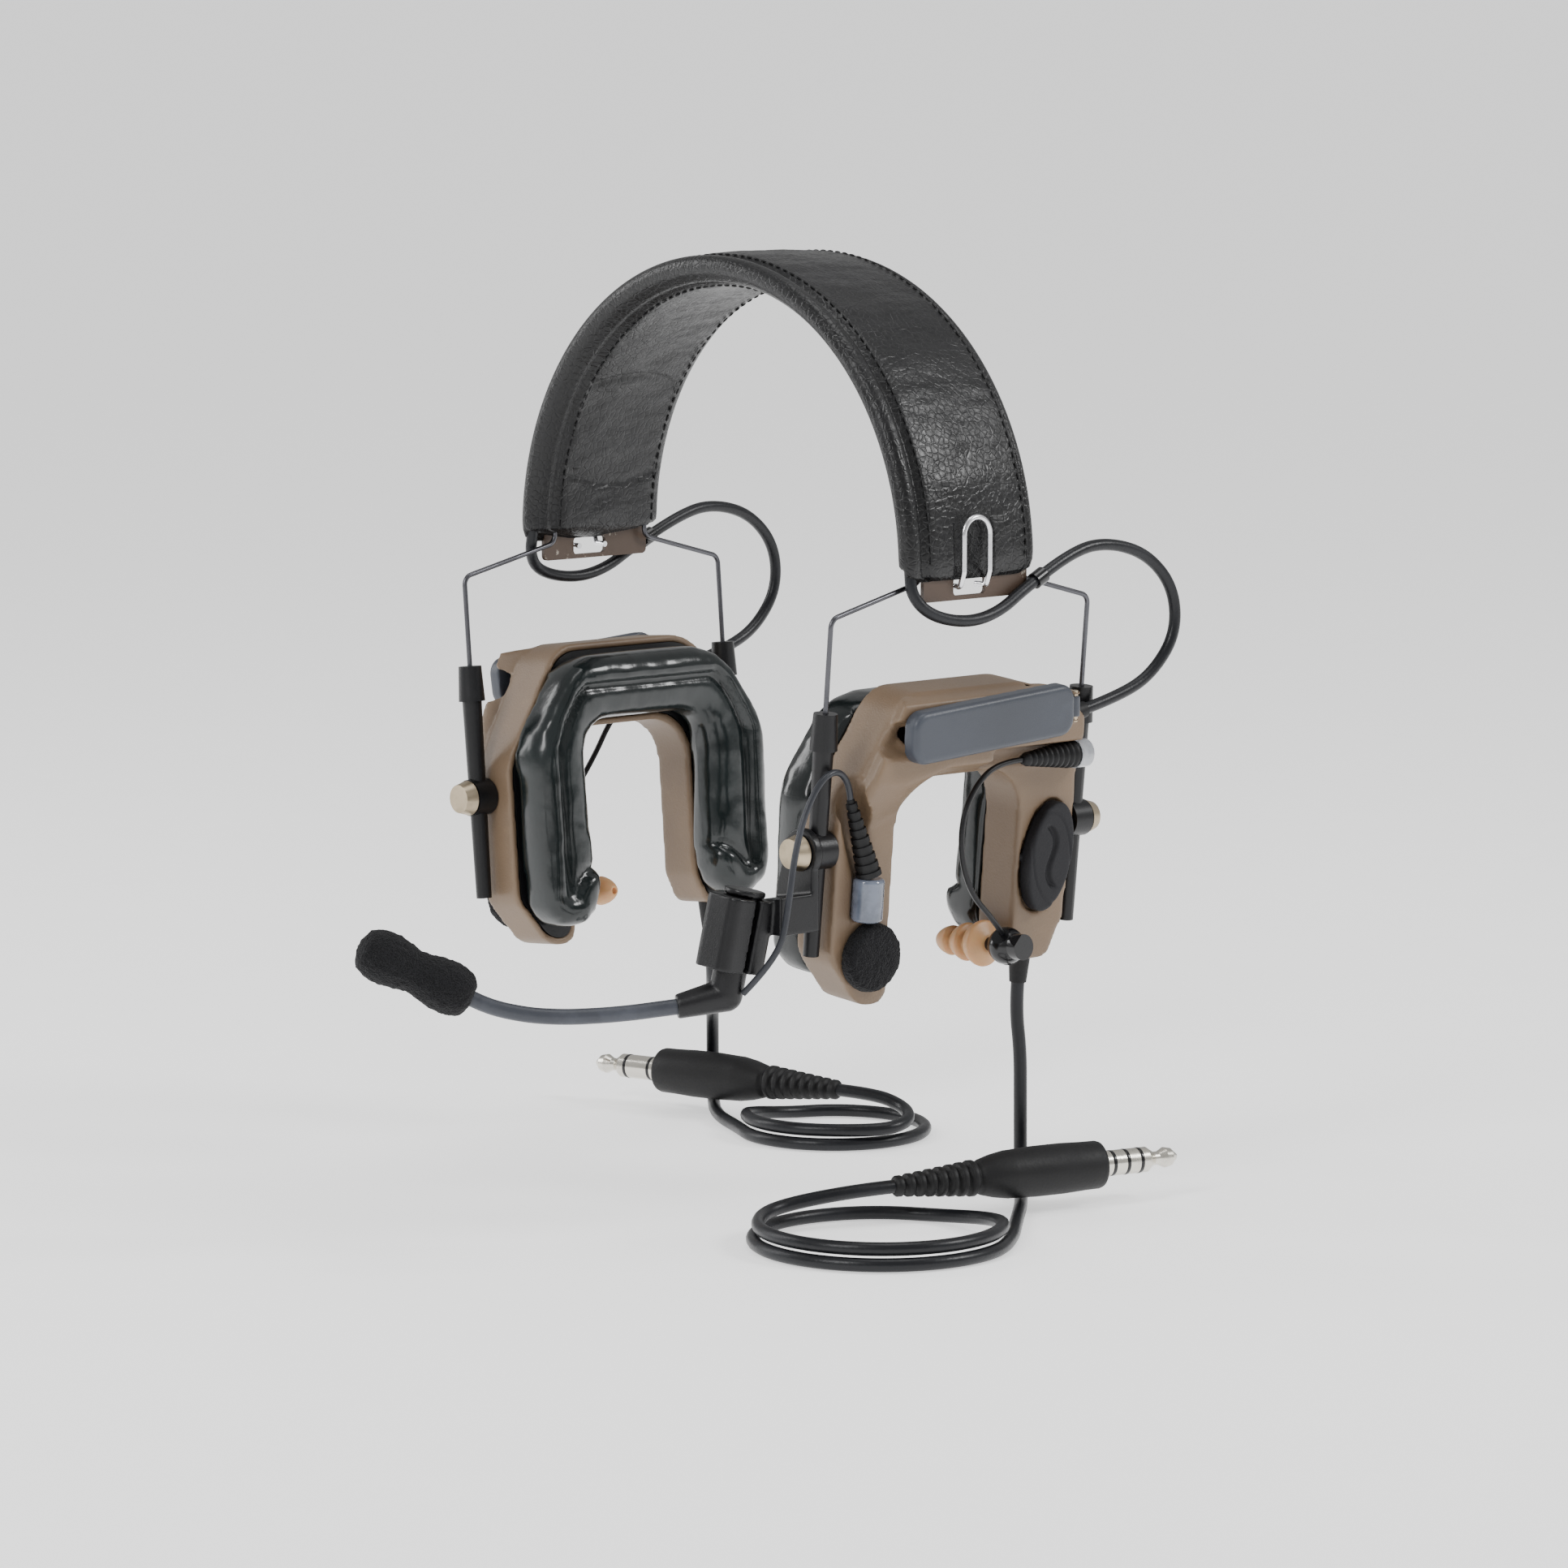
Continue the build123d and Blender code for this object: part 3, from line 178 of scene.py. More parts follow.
# ------------------------------------------------------------------ shader maths
class Value:
    """A socket of a material that is added, multiplied and compared like a number."""

    def __init__(self, paint, socket):
        self.paint = paint
        self.socket = socket

    def maths(self, operation, first, second):
        return self.paint.node("ShaderNodeMath", {"operation": operation}, {0: first, 1: second})

    def __add__(self, other):
        return self.maths("ADD", self, other)

    def __radd__(self, other):
        return self.maths("ADD", other, self)

    def __sub__(self, other):
        return self.maths("SUBTRACT", self, other)

    def __rsub__(self, other):
        return self.maths("SUBTRACT", other, self)

    def __mul__(self, other):
        return self.maths("MULTIPLY", self, other)

    def __rmul__(self, other):
        return self.maths("MULTIPLY", other, self)

    def __pow__(self, other):
        return self.maths("POWER", self, other)

    def between(self, low, high):
        """0 below low and 1 above high, with a smooth step between."""
        return self.paint.node("ShaderNodeMapRange", {"interpolation_type": "SMOOTHSTEP"},
                               {"Value": self, "From Min": low, "From Max": high})


class Paint:
    """A material in the making."""

    def __init__(self, name, **fixed):
        self.material = bpy.data.materials.new(name)
        self.material.use_nodes = True
        self.tree = self.material.node_tree
        self.tree.nodes.clear()
        self.shader = self.tree.nodes.new("ShaderNodeBsdfPrincipled")
        output = self.tree.nodes.new("ShaderNodeOutputMaterial")
        self.tree.links.new(self.shader.outputs[0], output.inputs[0])
        for socket, value in fixed.items():
            self.shader.inputs[socket.replace("_", " ")].default_value = value
        self.place = self.node("ShaderNodeTexCoord", out="Object")

    def node(self, kind, settings=None, sockets=None, out=0):
        """Adds one node: its settings first, then its sockets' values or links."""
        made = self.tree.nodes.new(kind)
        for key, value in (settings or {}).items():
            setattr(made, key, value)
        for key, value in (sockets or {}).items():
            if isinstance(value, Value):
                self.tree.links.new(value.socket, made.inputs[key])
            else:
                made.inputs[key].default_value = value
        return Value(self, made.outputs[out])

    def cloud(self, scale, detail=3.0, rough=0.5, where=None):
        """Soft noise from 0 to 1."""
        return self.node("ShaderNodeTexNoise", {}, {"Vector": where or self.place, "Scale": scale,
                                                    "Detail": detail, "Roughness": rough})

    def cells(self, scale, feature="F1", where=None):
        """Distance in a cell pattern."""
        return self.node("ShaderNodeTexVoronoi", {"feature": feature}, {"Vector": where or self.place, "Scale": scale})

    def stretched(self, scale):
        """The place stretched along an axis."""
        return self.node("ShaderNodeMapping", {}, {"Vector": self.place, "Scale": scale})

    def mixed(self, share, first, second):
        """A colour between two others."""
        return self.node("ShaderNodeMix", {"data_type": "RGBA"}, {0: share, 6: first, 7: second}, 2)

    def feed(self, socket, value):
        self.tree.links.new(value.socket, self.shader.inputs[socket])

    def raised(self, height, distance, strength=1.0):
        """Bump from a height between 0 and 1 that stands for that distance in metres."""
        self.feed("Normal", self.node("ShaderNodeBump", {}, {"Height": height, "Distance": distance,
                                                             "Strength": strength}))


def shade(colour, factor):
    """A colour made lighter or darker."""
    return tuple(min(1.0, c * factor) for c in colour[:3]) + (1.0,)


def moulded(name, colour, rough, grain=2200.0, depth=0.00012, wear=1.35, **fixed):
    """Moulded plastic: a fine spark-eroded grain, faint flow marks and paler rubbed patches."""
    paint = Paint(name, **fixed)
    fine = paint.cloud(grain, 2.0)
    flow = paint.cloud(28.0, 4.0)
    rubbed = paint.cloud(75.0, 6.0, 0.65).between(0.56, 0.74)
    tone = paint.mixed(flow.between(0.3, 0.7), shade(colour, 0.86), shade(colour, 1.10))
    paint.feed("Base Color", paint.mixed(rubbed * 0.45, tone, shade(colour, wear)))
    paint.feed("Roughness", fine * 0.14 + flow * 0.12 + (rough - 0.13))
    paint.raised(fine + flow * 0.3, depth, 0.5)
    return paint.material


def leather(name, colour, rough, gloss):
    """Grained hide: pebbles between fine furrows, long creases with painted shade in their folds and a painted
    highlight on their crests, and rubbed high spots.
    """
    paint = Paint(name, Sheen_Weight=0.03, Sheen_Roughness=0.4, Specular_IOR_Level=gloss)
    pebble = paint.cells(780.0)
    furrow = paint.cells(520.0, "DISTANCE_TO_EDGE").between(0.0, 0.16)
    crease = paint.cloud(9.0, 7.0, 0.62, paint.stretched((6.0, 1.4, 6.0)))
    ridge = 1.0 - paint.cloud(60.0, 5.0, 0.6, paint.stretched((1.0, 0.35, 1.0))).between(0.44, 0.56)
    rubbed = paint.cloud(34.0, 6.0, 0.7).between(0.5, 0.78)
    # painted shade and painted highlight: darker in the crease folds, lighter on the crease crests that the bump raises
    tone = paint.mixed(crease.between(0.35, 0.7), shade(colour, 0.7), shade(colour, 1.5))
    paint.feed("Base Color", paint.mixed(rubbed * 0.55, tone, shade((0.0095, 0.0092, 0.0092), 1.0)))
    paint.feed("Roughness", pebble * 0.16 + crease * 0.3 + rubbed * 0.1 + (rough - 0.26))
    paint.raised(furrow * 0.22 + pebble * -0.15 + ridge * 0.25 + crease * 1.8, 0.0006, 0.5)
    return paint.material


def vinyl(name, colour):
    """Glossy cushion cover with a slight orange peel and small puckers."""
    paint = Paint(name, Coat_Roughness=0.08, Specular_IOR_Level=0.5, Coat_Weight=0.15)
    peel = paint.cloud(420.0, 3.0)
    pucker = paint.cloud(70.0, 4.0, 0.6, paint.stretched((1.0, 1.0, 0.5)))
    haze = paint.cloud(24.0, 5.0, 0.6)
    paint.feed("Base Color", paint.mixed(haze.between(0.35, 0.7), shade(colour, 0.75), shade(colour, 1.9)))
    paint.feed("Roughness", haze * 0.16 + peel * 0.06 + 0.10)
    paint.raised(peel * 0.12 + pucker, 0.0008, 0.4)
    return paint.material


def rubber(name, colour, rough, lines=0.0):
    """Cord jacket and sleeves: matt skin with drawn lines and a bloom of dust."""
    paint = Paint(name, Specular_IOR_Level=0.34)
    skin = paint.cloud(1500.0, 3.0)
    bloom = paint.cloud(40.0, 5.0, 0.6).between(0.45, 0.75)
    paint.feed("Base Color", paint.mixed(bloom, shade(colour, 0.9), shade(colour, 1.6)))
    paint.feed("Roughness", skin * 0.16 + bloom * 0.12 + (rough - 0.12))
    paint.raised(skin + paint.cloud(220.0, 2.0) * lines, 0.00012, 0.4)
    return paint.material


def foam(name, colour):
    """Open-cell foam: pores of two sizes, with painted shade in the pore hollows and lighter cell edges."""
    paint = Paint(name, Specular_IOR_Level=0.15, Sheen_Weight=0.05, Sheen_Roughness=0.6)
    pores = paint.cells(2300.0)
    big = paint.cells(1150.0)
    # painted shade: dark in the pore hollows, lighter on the cell edges that the bump raises
    paint.feed("Base Color", paint.mixed(pores.between(0.15, 0.6), shade(colour, 0.35), shade(colour, 1.8)))
    paint.feed("Roughness", pores * 0.15 + 0.82)
    paint.raised(pores * 0.7 + big * 0.5, 0.0006, 0.8)
    return paint.material


def metal(name, colour, rough, brushed=(1.0, 1.0, 1.0)):
    """Bare or plated metal with fine drawn scratches and dull patches."""
    paint = Paint(name, Metallic=1.0)
    scratch = paint.cloud(900.0, 4.0, 0.7, paint.stretched(brushed))
    dull = paint.cloud(90.0, 5.0, 0.6).between(0.45, 0.7)
    paint.feed("Base Color", paint.mixed(dull * 0.6, shade(colour, 1.05), shade(colour, 0.72)))
    paint.feed("Roughness", scratch * 0.18 + dull * 0.16 + (rough - 0.1))
    paint.raised(scratch, 0.00004, 0.5)
    return paint.material


def painted(name, colour, bare, rough):
    """Painted steel plate, worn to the metal in flecks."""
    paint = Paint(name)
    worn = paint.cloud(160.0, 6.0, 0.75).between(0.60, 0.68)
    tone = paint.cloud(45.0, 3.0)
    paint.feed("Base Color", paint.mixed(worn, paint.mixed(tone, shade(colour, 0.7), shade(colour, 1.3)), shade(bare, 1.0)))
    paint.feed("Metallic", worn * 0.9)
    paint.feed("Roughness", tone * 0.2 + (rough - 0.1))
    paint.raised(1.0 - worn, 0.00006, 0.6)
    return paint.material


def clear(name, colour, rough, through):
    """Tinted see-through plastic with faint moulding swirls."""
    paint = Paint(name, Transmission_Weight=through, IOR=1.49, Coat_Weight=0.5, Coat_Roughness=0.05)
    swirl = paint.cloud(130.0, 4.0, 0.6)
    paint.feed("Base Color", paint.mixed(swirl.between(0.35, 0.65), shade(colour, 0.75), shade(colour, 1.25)))
    paint.feed("Roughness", swirl * 0.12 + (rough - 0.05))
    paint.raised(swirl, 0.0002, 0.3)
    return paint.material


def board(name):
    """Green circuit board with copper tracks under the mask."""
    paint = Paint(name)
    track = paint.cells(260.0, "DISTANCE_TO_EDGE").between(0.05, 0.08)
    paint.feed("Base Color", paint.mixed(track, shade((0.02, 0.20, 0.08), 1.0), shade((0.01, 0.09, 0.04), 1.0)))
    paint.feed("Roughness", track * 0.2 + 0.25)
    paint.raised(1.0 - track, 0.0001, 0.6)
    return paint.material


FINISHES = {}


def make_finishes(colours):
    """Every finish of the headset, by name."""
    FINISHES.update({
        "shell": moulded("olive_shell", tuple(colours.shell), 0.46, 1700.0, 0.00016, 1.28),
        "cover": moulded("slate_cover", tuple(colours.cover), 0.42, 2600.0, 0.00008, 1.5),
        "keys": moulded("matt_keypad", (0.012, 0.012, 0.0145), 0.66, 1900.0, 0.00018, 1.6,
                         Specular_IOR_Level=0.3),
        "black_plastic": moulded("black_plastic", (0.0048, 0.0048, 0.0058), 0.36, 2400.0, 0.00008, 2.2,
                                 Specular_IOR_Level=0.36),
        "gloss_black": moulded("gloss_black", (0.0042, 0.0042, 0.0052), 0.20, 3000.0, 0.00003, 2.0),
        "leather": leather("band_leather", tuple(colours.leather), 0.40, 0.42),
        "vinyl": vinyl("cushion_vinyl", tuple(colours.vinyl)),
        "jacket": rubber("cord_jacket", (0.0072, 0.0078, 0.0100), 0.38, 0.6),
        "thin_jacket": rubber("thin_jacket", (0.0050, 0.0050, 0.0060), 0.34, 0.4),
        "mic_jacket": rubber("mic_jacket", (0.026, 0.028, 0.034), 0.36, 0.4),
        "rubber": rubber("black_rubber", (0.0042, 0.0042, 0.0048), 0.56, 0.8),
        "gooseneck": rubber("gooseneck_sleeve", (0.050, 0.054, 0.066), 0.42, 1.0),
        "foam": foam("black_foam", (0.0062, 0.0062, 0.0070)),
        "wire": metal("spring_wire", (0.105, 0.105, 0.115), 0.34, (1.0, 1.0, 0.05)),
        "bright": metal("bright_wire", (0.78, 0.78, 0.80), 0.18),
        "pins": metal("champagne_pins", (0.46, 0.38, 0.27), 0.34),
        "plug_metal": metal("plug_nickel", (0.70, 0.67, 0.60), 0.22, (0.2, 1.0, 1.0)),
        "battery": metal("battery_can", (0.60, 0.60, 0.62), 0.32),
        "plate": painted("plate_paint", (0.070, 0.043, 0.028), (0.40, 0.36, 0.30), 0.46),
        "smoke": clear("smoke_plastic", (0.20, 0.23, 0.30), 0.14, 0.45),
        "ice": clear("pale_clear_plastic", (0.62, 0.64, 0.68), 0.12, 0.5),
        "board": board("circuit_board"),
        "tip": moulded("soft_tip", tuple(colours.tip), 0.44, 1300.0, 0.0001, 1.15,
                       Subsurface_Weight=0.25, Subsurface_Scale=0.004),
        "thread": rubber("black_thread", (0.0060, 0.0060, 0.0066), 0.55, 1.0),
    })


NODE_FINISH = {
    "front_spring_wire": "wire", "rear_spring_wire": "wire", "end_plates": "plate", "wire_clips": "bright",
    "cable_ties": "gloss_black", "sleeves": "black_plastic", "sleeve_heads": "black_plastic", "pins": "pins",
    "back_plate": "black_plastic", "plate_screws": "bright", "circuit_board": "board", "battery": "battery",
    "earplug_connector": "ice", "earplug_relief": "rubber", "cable_glands": "rubber",
    "earplug_body": "gloss_black", "plug_pin": "plug_metal", "mic_plug": "smoke", "mic_relief": "rubber",
    "mic_capsule": "black_plastic", "gooseneck": "gooseneck",
}


# ------------------------------------------------------------------ mesh helpers
def linked(name, data):
    """A new object at the origin."""
    made = bpy.data.objects.new(name, data)
    bpy.context.scene.collection.objects.link(made)
    return made


def drop(thing):
    """Removes an object and its data."""
    data = thing.data
    bpy.data.objects.remove(thing)
    (bpy.data.curves if isinstance(data, bpy.types.Curve) else bpy.data.meshes).remove(data)


def applied(thing, name=None):
    """The object's evaluated shape as a plain mesh, with its modifiers gone."""
    graph = bpy.context.evaluated_depsgraph_get()
    mesh = bpy.data.meshes.new_from_object(thing.evaluated_get(graph))
    if thing.type == "MESH" and name is None:
        old = thing.data
        thing.modifiers.clear()
        thing.data = mesh
        bpy.data.meshes.remove(old)
        return thing
    made = linked(name or thing.name + "_mesh", mesh)
    drop(thing)
    return made


def finished(thing, finish, body=None):
    """Smooth faces, one finish and a body to ride on."""
    thing.data.materials.clear()
    thing.data.materials.append(FINISHES[finish])
    if thing.type == "MESH":
        thing.data.polygons.foreach_set("use_smooth", [True] * len(thing.data.polygons))
        thing.data.polygons.foreach_set("material_index", [0] * len(thing.data.polygons))
        thing.data.update()
    if body:
        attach(thing, body)
    return thing


def copied(name, nodes):
    """A merged copy of frame nodes."""
    work = bmesh.new()
    for node in nodes:
        work.from_mesh(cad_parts[node].data)
    bmesh.ops.remove_doubles(work, verts=work.verts, dist=2e-7)
    mesh = bpy.data.meshes.new(name)
    work.to_mesh(mesh)
    work.free()
    return linked(name, mesh)


def remeshed(thing, voxel, passes):
    """An even mesh over the shape, with its sharp edges rounded by smoothing."""
    even = thing.modifiers.new("even", "REMESH")
    even.mode = "VOXEL"
    even.voxel_size = voxel
    even.use_smooth_shade = True
    soft = thing.modifiers.new("soft", "SMOOTH")
    soft.factor = 0.5
    soft.iterations = passes
    return applied(thing)


def points_of(thing):
    """The vertices as an array."""
    flat = np.zeros(len(thing.data.vertices) * 3)
    thing.data.vertices.foreach_get("co", flat)
    return flat.reshape(-1, 3)


def put_points(thing, points):
    """Moves the vertices."""
    thing.data.vertices.foreach_set("co", points.reshape(-1).astype(np.float32))
    thing.data.update()


def step(value, low, high):
    """A smooth step from 0 to 1."""
    t = np.clip((value - low) / (high - low), 0.0, 1.0)
    return t * t * (3 - 2 * t)


def gap_to(route, first, second, closed=False):
    """Distance of many points in a plane from a route of straight runs."""
    ends = route[1:] + route[:1] if closed else route[1:]
    best = np.full(len(first), 1e9)
    for (ax, ay), (bx, by) in zip(route, ends):
        dx, dy = bx - ax, by - ay
        t = np.clip(((first - ax) * dx + (second - ay) * dy) / (dx * dx + dy * dy), 0, 1)
        best = np.minimum(best, np.hypot(first - ax - t * dx, second - ay - t * dy))
    return best


def rough_up(thing, size, amount, seed=0.0):
    """Pushes each vertex along its normal by seeded noise."""
    for vertex in thing.data.vertices:
        value = noise.fractal(vertex.co / size + Vector((seed, seed, seed)), 0.8, 2.0, 3)
        vertex.co += vertex.normal * value * amount
    thing.data.update()


def turned(name, foot, aim, profile, around=48):
    """A closed shape of revolution: profile is (distance along aim, radius), in millimetres."""
    aim = Vector(aim).normalized()
    across = aim.orthogonal().normalized()
    other = aim.cross(across)
    work = bmesh.new()
    rings = []
    for along, radius in profile:
        middle = (Vector(foot) + aim * along) * MM
        if radius <= 0:
            rings.append([work.verts.new(middle)])
            continue
        rings.append([work.verts.new(middle + (across * math.cos(a) + other * math.sin(a)) * radius * MM)
                      for a in (2 * math.pi * i / around for i in range(around))])
    for low, high in zip(rings, rings[1:]):
        for i in range(max(len(low), len(high))):
            j = (i + 1) % around
            corners = [low[i % len(low)], low[j % len(low)], high[j % len(high)], high[i % len(high)]]
            work.faces.new([v for k, v in enumerate(corners) if v not in corners[:k]])
    bmesh.ops.recalc_face_normals(work, faces=work.faces)
    mesh = bpy.data.meshes.new(name)
    work.to_mesh(mesh)
    work.free()
    return linked(name, mesh)


def rounded_profile(knots, rows):
    """A smooth profile through knots of (distance, radius)."""
    at = np.linspace(knots[0][0], knots[-1][0], rows)
    places = np.array([k[0] for k in knots])
    radii = np.array([k[1] for k in knots])
    slope = np.gradient(radii, places)
    made = []
    for x in at:
        i = min(int(np.searchsorted(places, x, "right")) - 1, len(knots) - 2)
        h = places[i + 1] - places[i]
        t = (x - places[i]) / h
        value = ((2 * t ** 3 - 3 * t ** 2 + 1) * radii[i] + (t ** 3 - 2 * t ** 2 + t) * h * slope[i]
                 + (3 * t ** 2 - 2 * t ** 3) * radii[i + 1] + (t ** 3 - t ** 2) * h * slope[i + 1])
        made.append((float(x), float(value)))
    return made


# ------------------------------------------------------------------ cords
def spline(name, route, radius=0.0):
    """A smooth cord through its route's control points."""
    curve = bpy.data.curves.new(name, "CURVE")
    curve.dimensions = "3D"
    line = curve.splines.new("NURBS")
    line.points.add(len(route) - 1)
    for point, place in zip(line.points, metres(route)):
        point.co = (*place, 1.0)
    line.order_u = 3
    line.use_endpoint_u = True
    curve.resolution_u = 10
    curve.bevel_depth = radius
    curve.bevel_resolution = 5
    curve.use_fill_caps = True
    return linked(name, curve)


def centreline(route):
    """Points along a route's smooth line."""
    bare = spline("centreline", route)
    mesh = bpy.data.meshes.new_from_object(bare.evaluated_get(bpy.context.evaluated_depsgraph_get()))
    line = [v.co.copy() for v in mesh.vertices]
    bpy.data.meshes.remove(mesh)
    drop(bare)
    return line


def free_cord(name, route, radius, body, finish, stands_for=()):
    """A cord that rides on one body."""
    line = centreline(route)
    cord = spline(name, route, radius)
    cord.data.materials.append(FINISHES[finish])
    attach(cord, body)
    if stands_for:
        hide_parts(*stands_for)
    return cord


def bending_cord(name, route, radius, finish, stands_for=()):
    """A cord as a plain tube mesh in place, tied to no body."""
    line = centreline(route)
    tube = applied(spline(name + "_route", route, radius), name)
    finished(tube, finish)
    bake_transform(tube)
    if stands_for:
        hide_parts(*stands_for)
    return tube


def split(route, at):
    """Two routes that meet in the middle of the run after point at, with the same smooth line."""
    middle = tuple((a + b) / 2 for a, b in zip(route[at], route[at + 1]))
    return route[:at + 1] + [middle], [middle] + route[at + 1:]


# ------------------------------------------------------------------ geometry node trees
def group_with(name, inputs):
    """An empty node group with named number inputs and a geometry in and out."""
    tree = bpy.data.node_groups.new(name, "GeometryNodeTree")
    tree.interface.new_socket(name="Path", in_out="INPUT", socket_type="NodeSocketGeometry")
    for label, kind, value in inputs:
        tree.interface.new_socket(name=label, in_out="INPUT", socket_type=kind)
        if value is not None:
            tree.interface.items_tree[label].default_value = value
    tree.interface.new_socket(name="Pieces", in_out="OUTPUT", socket_type="NodeSocketGeometry")
    return tree, tree.nodes.new("NodeGroupInput"), tree.nodes.new("NodeGroupOutput")


def beads_on_path():
    """Geometry nodes: a rounded bead at even steps along each path, lying along it. Used for stitches and rings."""
    tree, given, out = group_with("beads_on_path", [
        ("Step", "NodeSocketFloat", 0.003), ("Length", "NodeSocketFloat", 0.002),
        ("Radius", "NodeSocketFloat", 0.0004), ("Sides", "NodeSocketInt", 8),
        ("Roundness", "NodeSocketFloat", 0.5), ("Finish", "NodeSocketMaterial", None)])
    new, join = tree.nodes.new, tree.links.new
    spread = new("GeometryNodeResampleCurve")
    spread.mode = "LENGTH"
    join(given.outputs["Path"], spread.inputs["Curve"])
    join(given.outputs["Step"], spread.inputs["Length"])
    bead = new("GeometryNodeMeshCylinder")
    bead.inputs["Side Segments"].default_value = 4
    join(given.outputs["Sides"], bead.inputs["Vertices"])
    join(given.outputs["Radius"], bead.inputs["Radius"])
    join(given.outputs["Length"], bead.inputs["Depth"])
    place = new("GeometryNodeInputPosition")
    parts = new("ShaderNodeSeparateXYZ")
    join(place.outputs[0], parts.inputs[0])
    share = new("ShaderNodeMath")
    share.operation = "DIVIDE"
    join(parts.outputs["Z"], share.inputs[0])
    join(given.outputs["Length"], share.inputs[1])
    square = new("ShaderNodeMath")
    square.operation = "MULTIPLY"
    join(share.outputs[0], square.inputs[0])
    join(share.outputs[0], square.inputs[1])
    waist = new("ShaderNodeMath")
    waist.operation = "MULTIPLY_ADD"
    join(square.outputs[0], waist.inputs[0])
    less = new("ShaderNodeMath")
    less.operation = "MULTIPLY"
    less.inputs[1].default_value = -4.0
    join(given.outputs["Roundness"], less.inputs[0])
    join(less.outputs[0], waist.inputs[1])
    waist.inputs[2].default_value = 1.0
    size = new("ShaderNodeCombineXYZ")
    size.inputs[2].default_value = 1.0
    join(waist.outputs[0], size.inputs[0])
    join(waist.outputs[0], size.inputs[1])
    scaled = new("ShaderNodeVectorMath")
    scaled.operation = "MULTIPLY"
    join(place.outputs[0], scaled.inputs[0])
    join(size.outputs[0], scaled.inputs[1])
    shaped = new("GeometryNodeSetPosition")
    join(bead.outputs["Mesh"], shaped.inputs["Geometry"])
    join(scaled.outputs[0], shaped.inputs["Position"])
    along = new("GeometryNodeInputTangent")
    aim = new("FunctionNodeAlignRotationToVector")
    aim.axis = "Z"
    join(along.outputs[0], aim.inputs["Vector"])
    put = new("GeometryNodeInstanceOnPoints")
    join(spread.outputs[0], put.inputs["Points"])
    join(shaped.outputs[0], put.inputs["Instance"])
    join(aim.outputs[0], put.inputs["Rotation"])
    real = new("GeometryNodeRealizeInstances")
    join(put.outputs[0], real.inputs[0])
    painted_on = new("GeometryNodeSetMaterial")
    join(real.outputs[0], painted_on.inputs["Geometry"])
    join(given.outputs["Finish"], painted_on.inputs["Material"])
    join(painted_on.outputs[0], out.inputs[0])
    return tree


def beaded(name, lines, tree, **given):
    """Runs the bead tree over lines of points and returns a plain mesh."""
    curve = bpy.data.curves.new(name + "_path", "CURVE")
    curve.dimensions = "3D"
    for line in lines:
        run = curve.splines.new("POLY")
        run.points.add(len(line) - 1)
        for point, place in zip(run.points, line):
            point.co = (*place, 1.0)
    thing = linked(name + "_path", curve)
    modifier = thing.modifiers.new("beads", "NODES")
    modifier.node_group = tree
    for label, value in given.items():
        modifier[tree.interface.items_tree[label].identifier] = value
    return applied(thing, name)


# ------------------------------------------------------------------ operators
class Piece(bpy.types.Operator):
    """Shared base of the building steps"""

    bl_options = {"REGISTER"}

    def execute(self, context):
        self.build(context.scene.headset_sizes, context.scene.headset_colours)
        return {"FINISHED"}


class HEADSET_OT_stage(Piece):
    """Floor, soft lights and the camera"""

    bl_idname = "headset.stage"
    bl_label = "Stage"

    def build(self, sizes, colours):
        scene = bpy.context.scene
        camera = bpy.data.cameras.new("camera")
        camera.sensor_width = 36.0
        camera.lens = 139.24
        camera.clip_end = 1000.0
        view = linked("camera", camera)
        view.location = (1.2634, -1.1328, 0.08545)
        view.rotation_euler = (math.radians(82.4), 0.0, math.radians(48.0))
        scene.camera = view
        world = bpy.data.worlds.new("studio")
        world.use_nodes = True
        world.node_tree.nodes["Background"].inputs[0].default_value = (1.0, 1.0, 1.0, 1.0)
        world.node_tree.nodes["Background"].inputs[1].default_value = 0.50
        scene.world = world
        for name, place, power, size in [
            ("key", (0.25, -1.35, 0.75), 11.0, (0.40, 0.8)),
            ("rim", (0.95, 0.75, 0.70), 10.0, (0.40, 0.40)),
            ("fill", (-1.1, -0.6, 0.35), 6.0, (0.3, 0.9)),
            ("top", (0.1, 0.1, 1.2), 5.0, (0.7, 0.7)),
        ]:
            lamp = bpy.data.lights.new(name, "AREA")
            lamp.shape = "RECTANGLE"
            lamp.size, lamp.size_y = size
            lamp.energy = power
            light = linked(name, lamp)
            light.location = place
            light.rotation_euler = (Vector((0.02, 0, -0.12)) - Vector(place)).to_track_quat("-Z", "Y").to_euler()
        paper = Paint("pale_floor", Specular_IOR_Level=0.2, Emission_Strength=0.80,
                      Emission_Color=(1.0, 1.0, 1.0, 1.0))
        fibre = paper.cloud(35.0, 3.0)
        paper.feed("Base Color", paper.mixed(fibre, (0.86, 0.86, 0.86, 1), (0.89, 0.89, 0.89, 1)))
        paper.feed("Roughness", fibre * 0.1 + 0.6)
        work = bmesh.new()
        bmesh.ops.create_circle(work, cap_ends=True, segments=96, radius=300.0,
                                matrix=Matrix.Translation((0, 0, -0.2534)))
        mesh = bpy.data.meshes.new("floor")
        work.to_mesh(mesh)
        work.free()
        mesh.materials.append(paper.material)
        linked("floor", mesh)


class HEADSET_OT_finishes(Piece):
    """Makes the finishes and gives them to the frame's hard parts"""

    bl_idname = "headset.finishes"
    bl_label = "Finishes"

    def build(self, sizes, colours):
        make_finishes(colours)
        for name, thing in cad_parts.items():
            plain = name.removeprefix("left_").removeprefix("right_")
            finish = FINISHES[NODE_FINISH.get(name, NODE_FINISH.get(plain, "black_plastic"))]
            for index in range(len(thing.data.materials)):
                thing.data.materials[index] = finish
            if not thing.data.materials:
                thing.data.materials.append(finish)


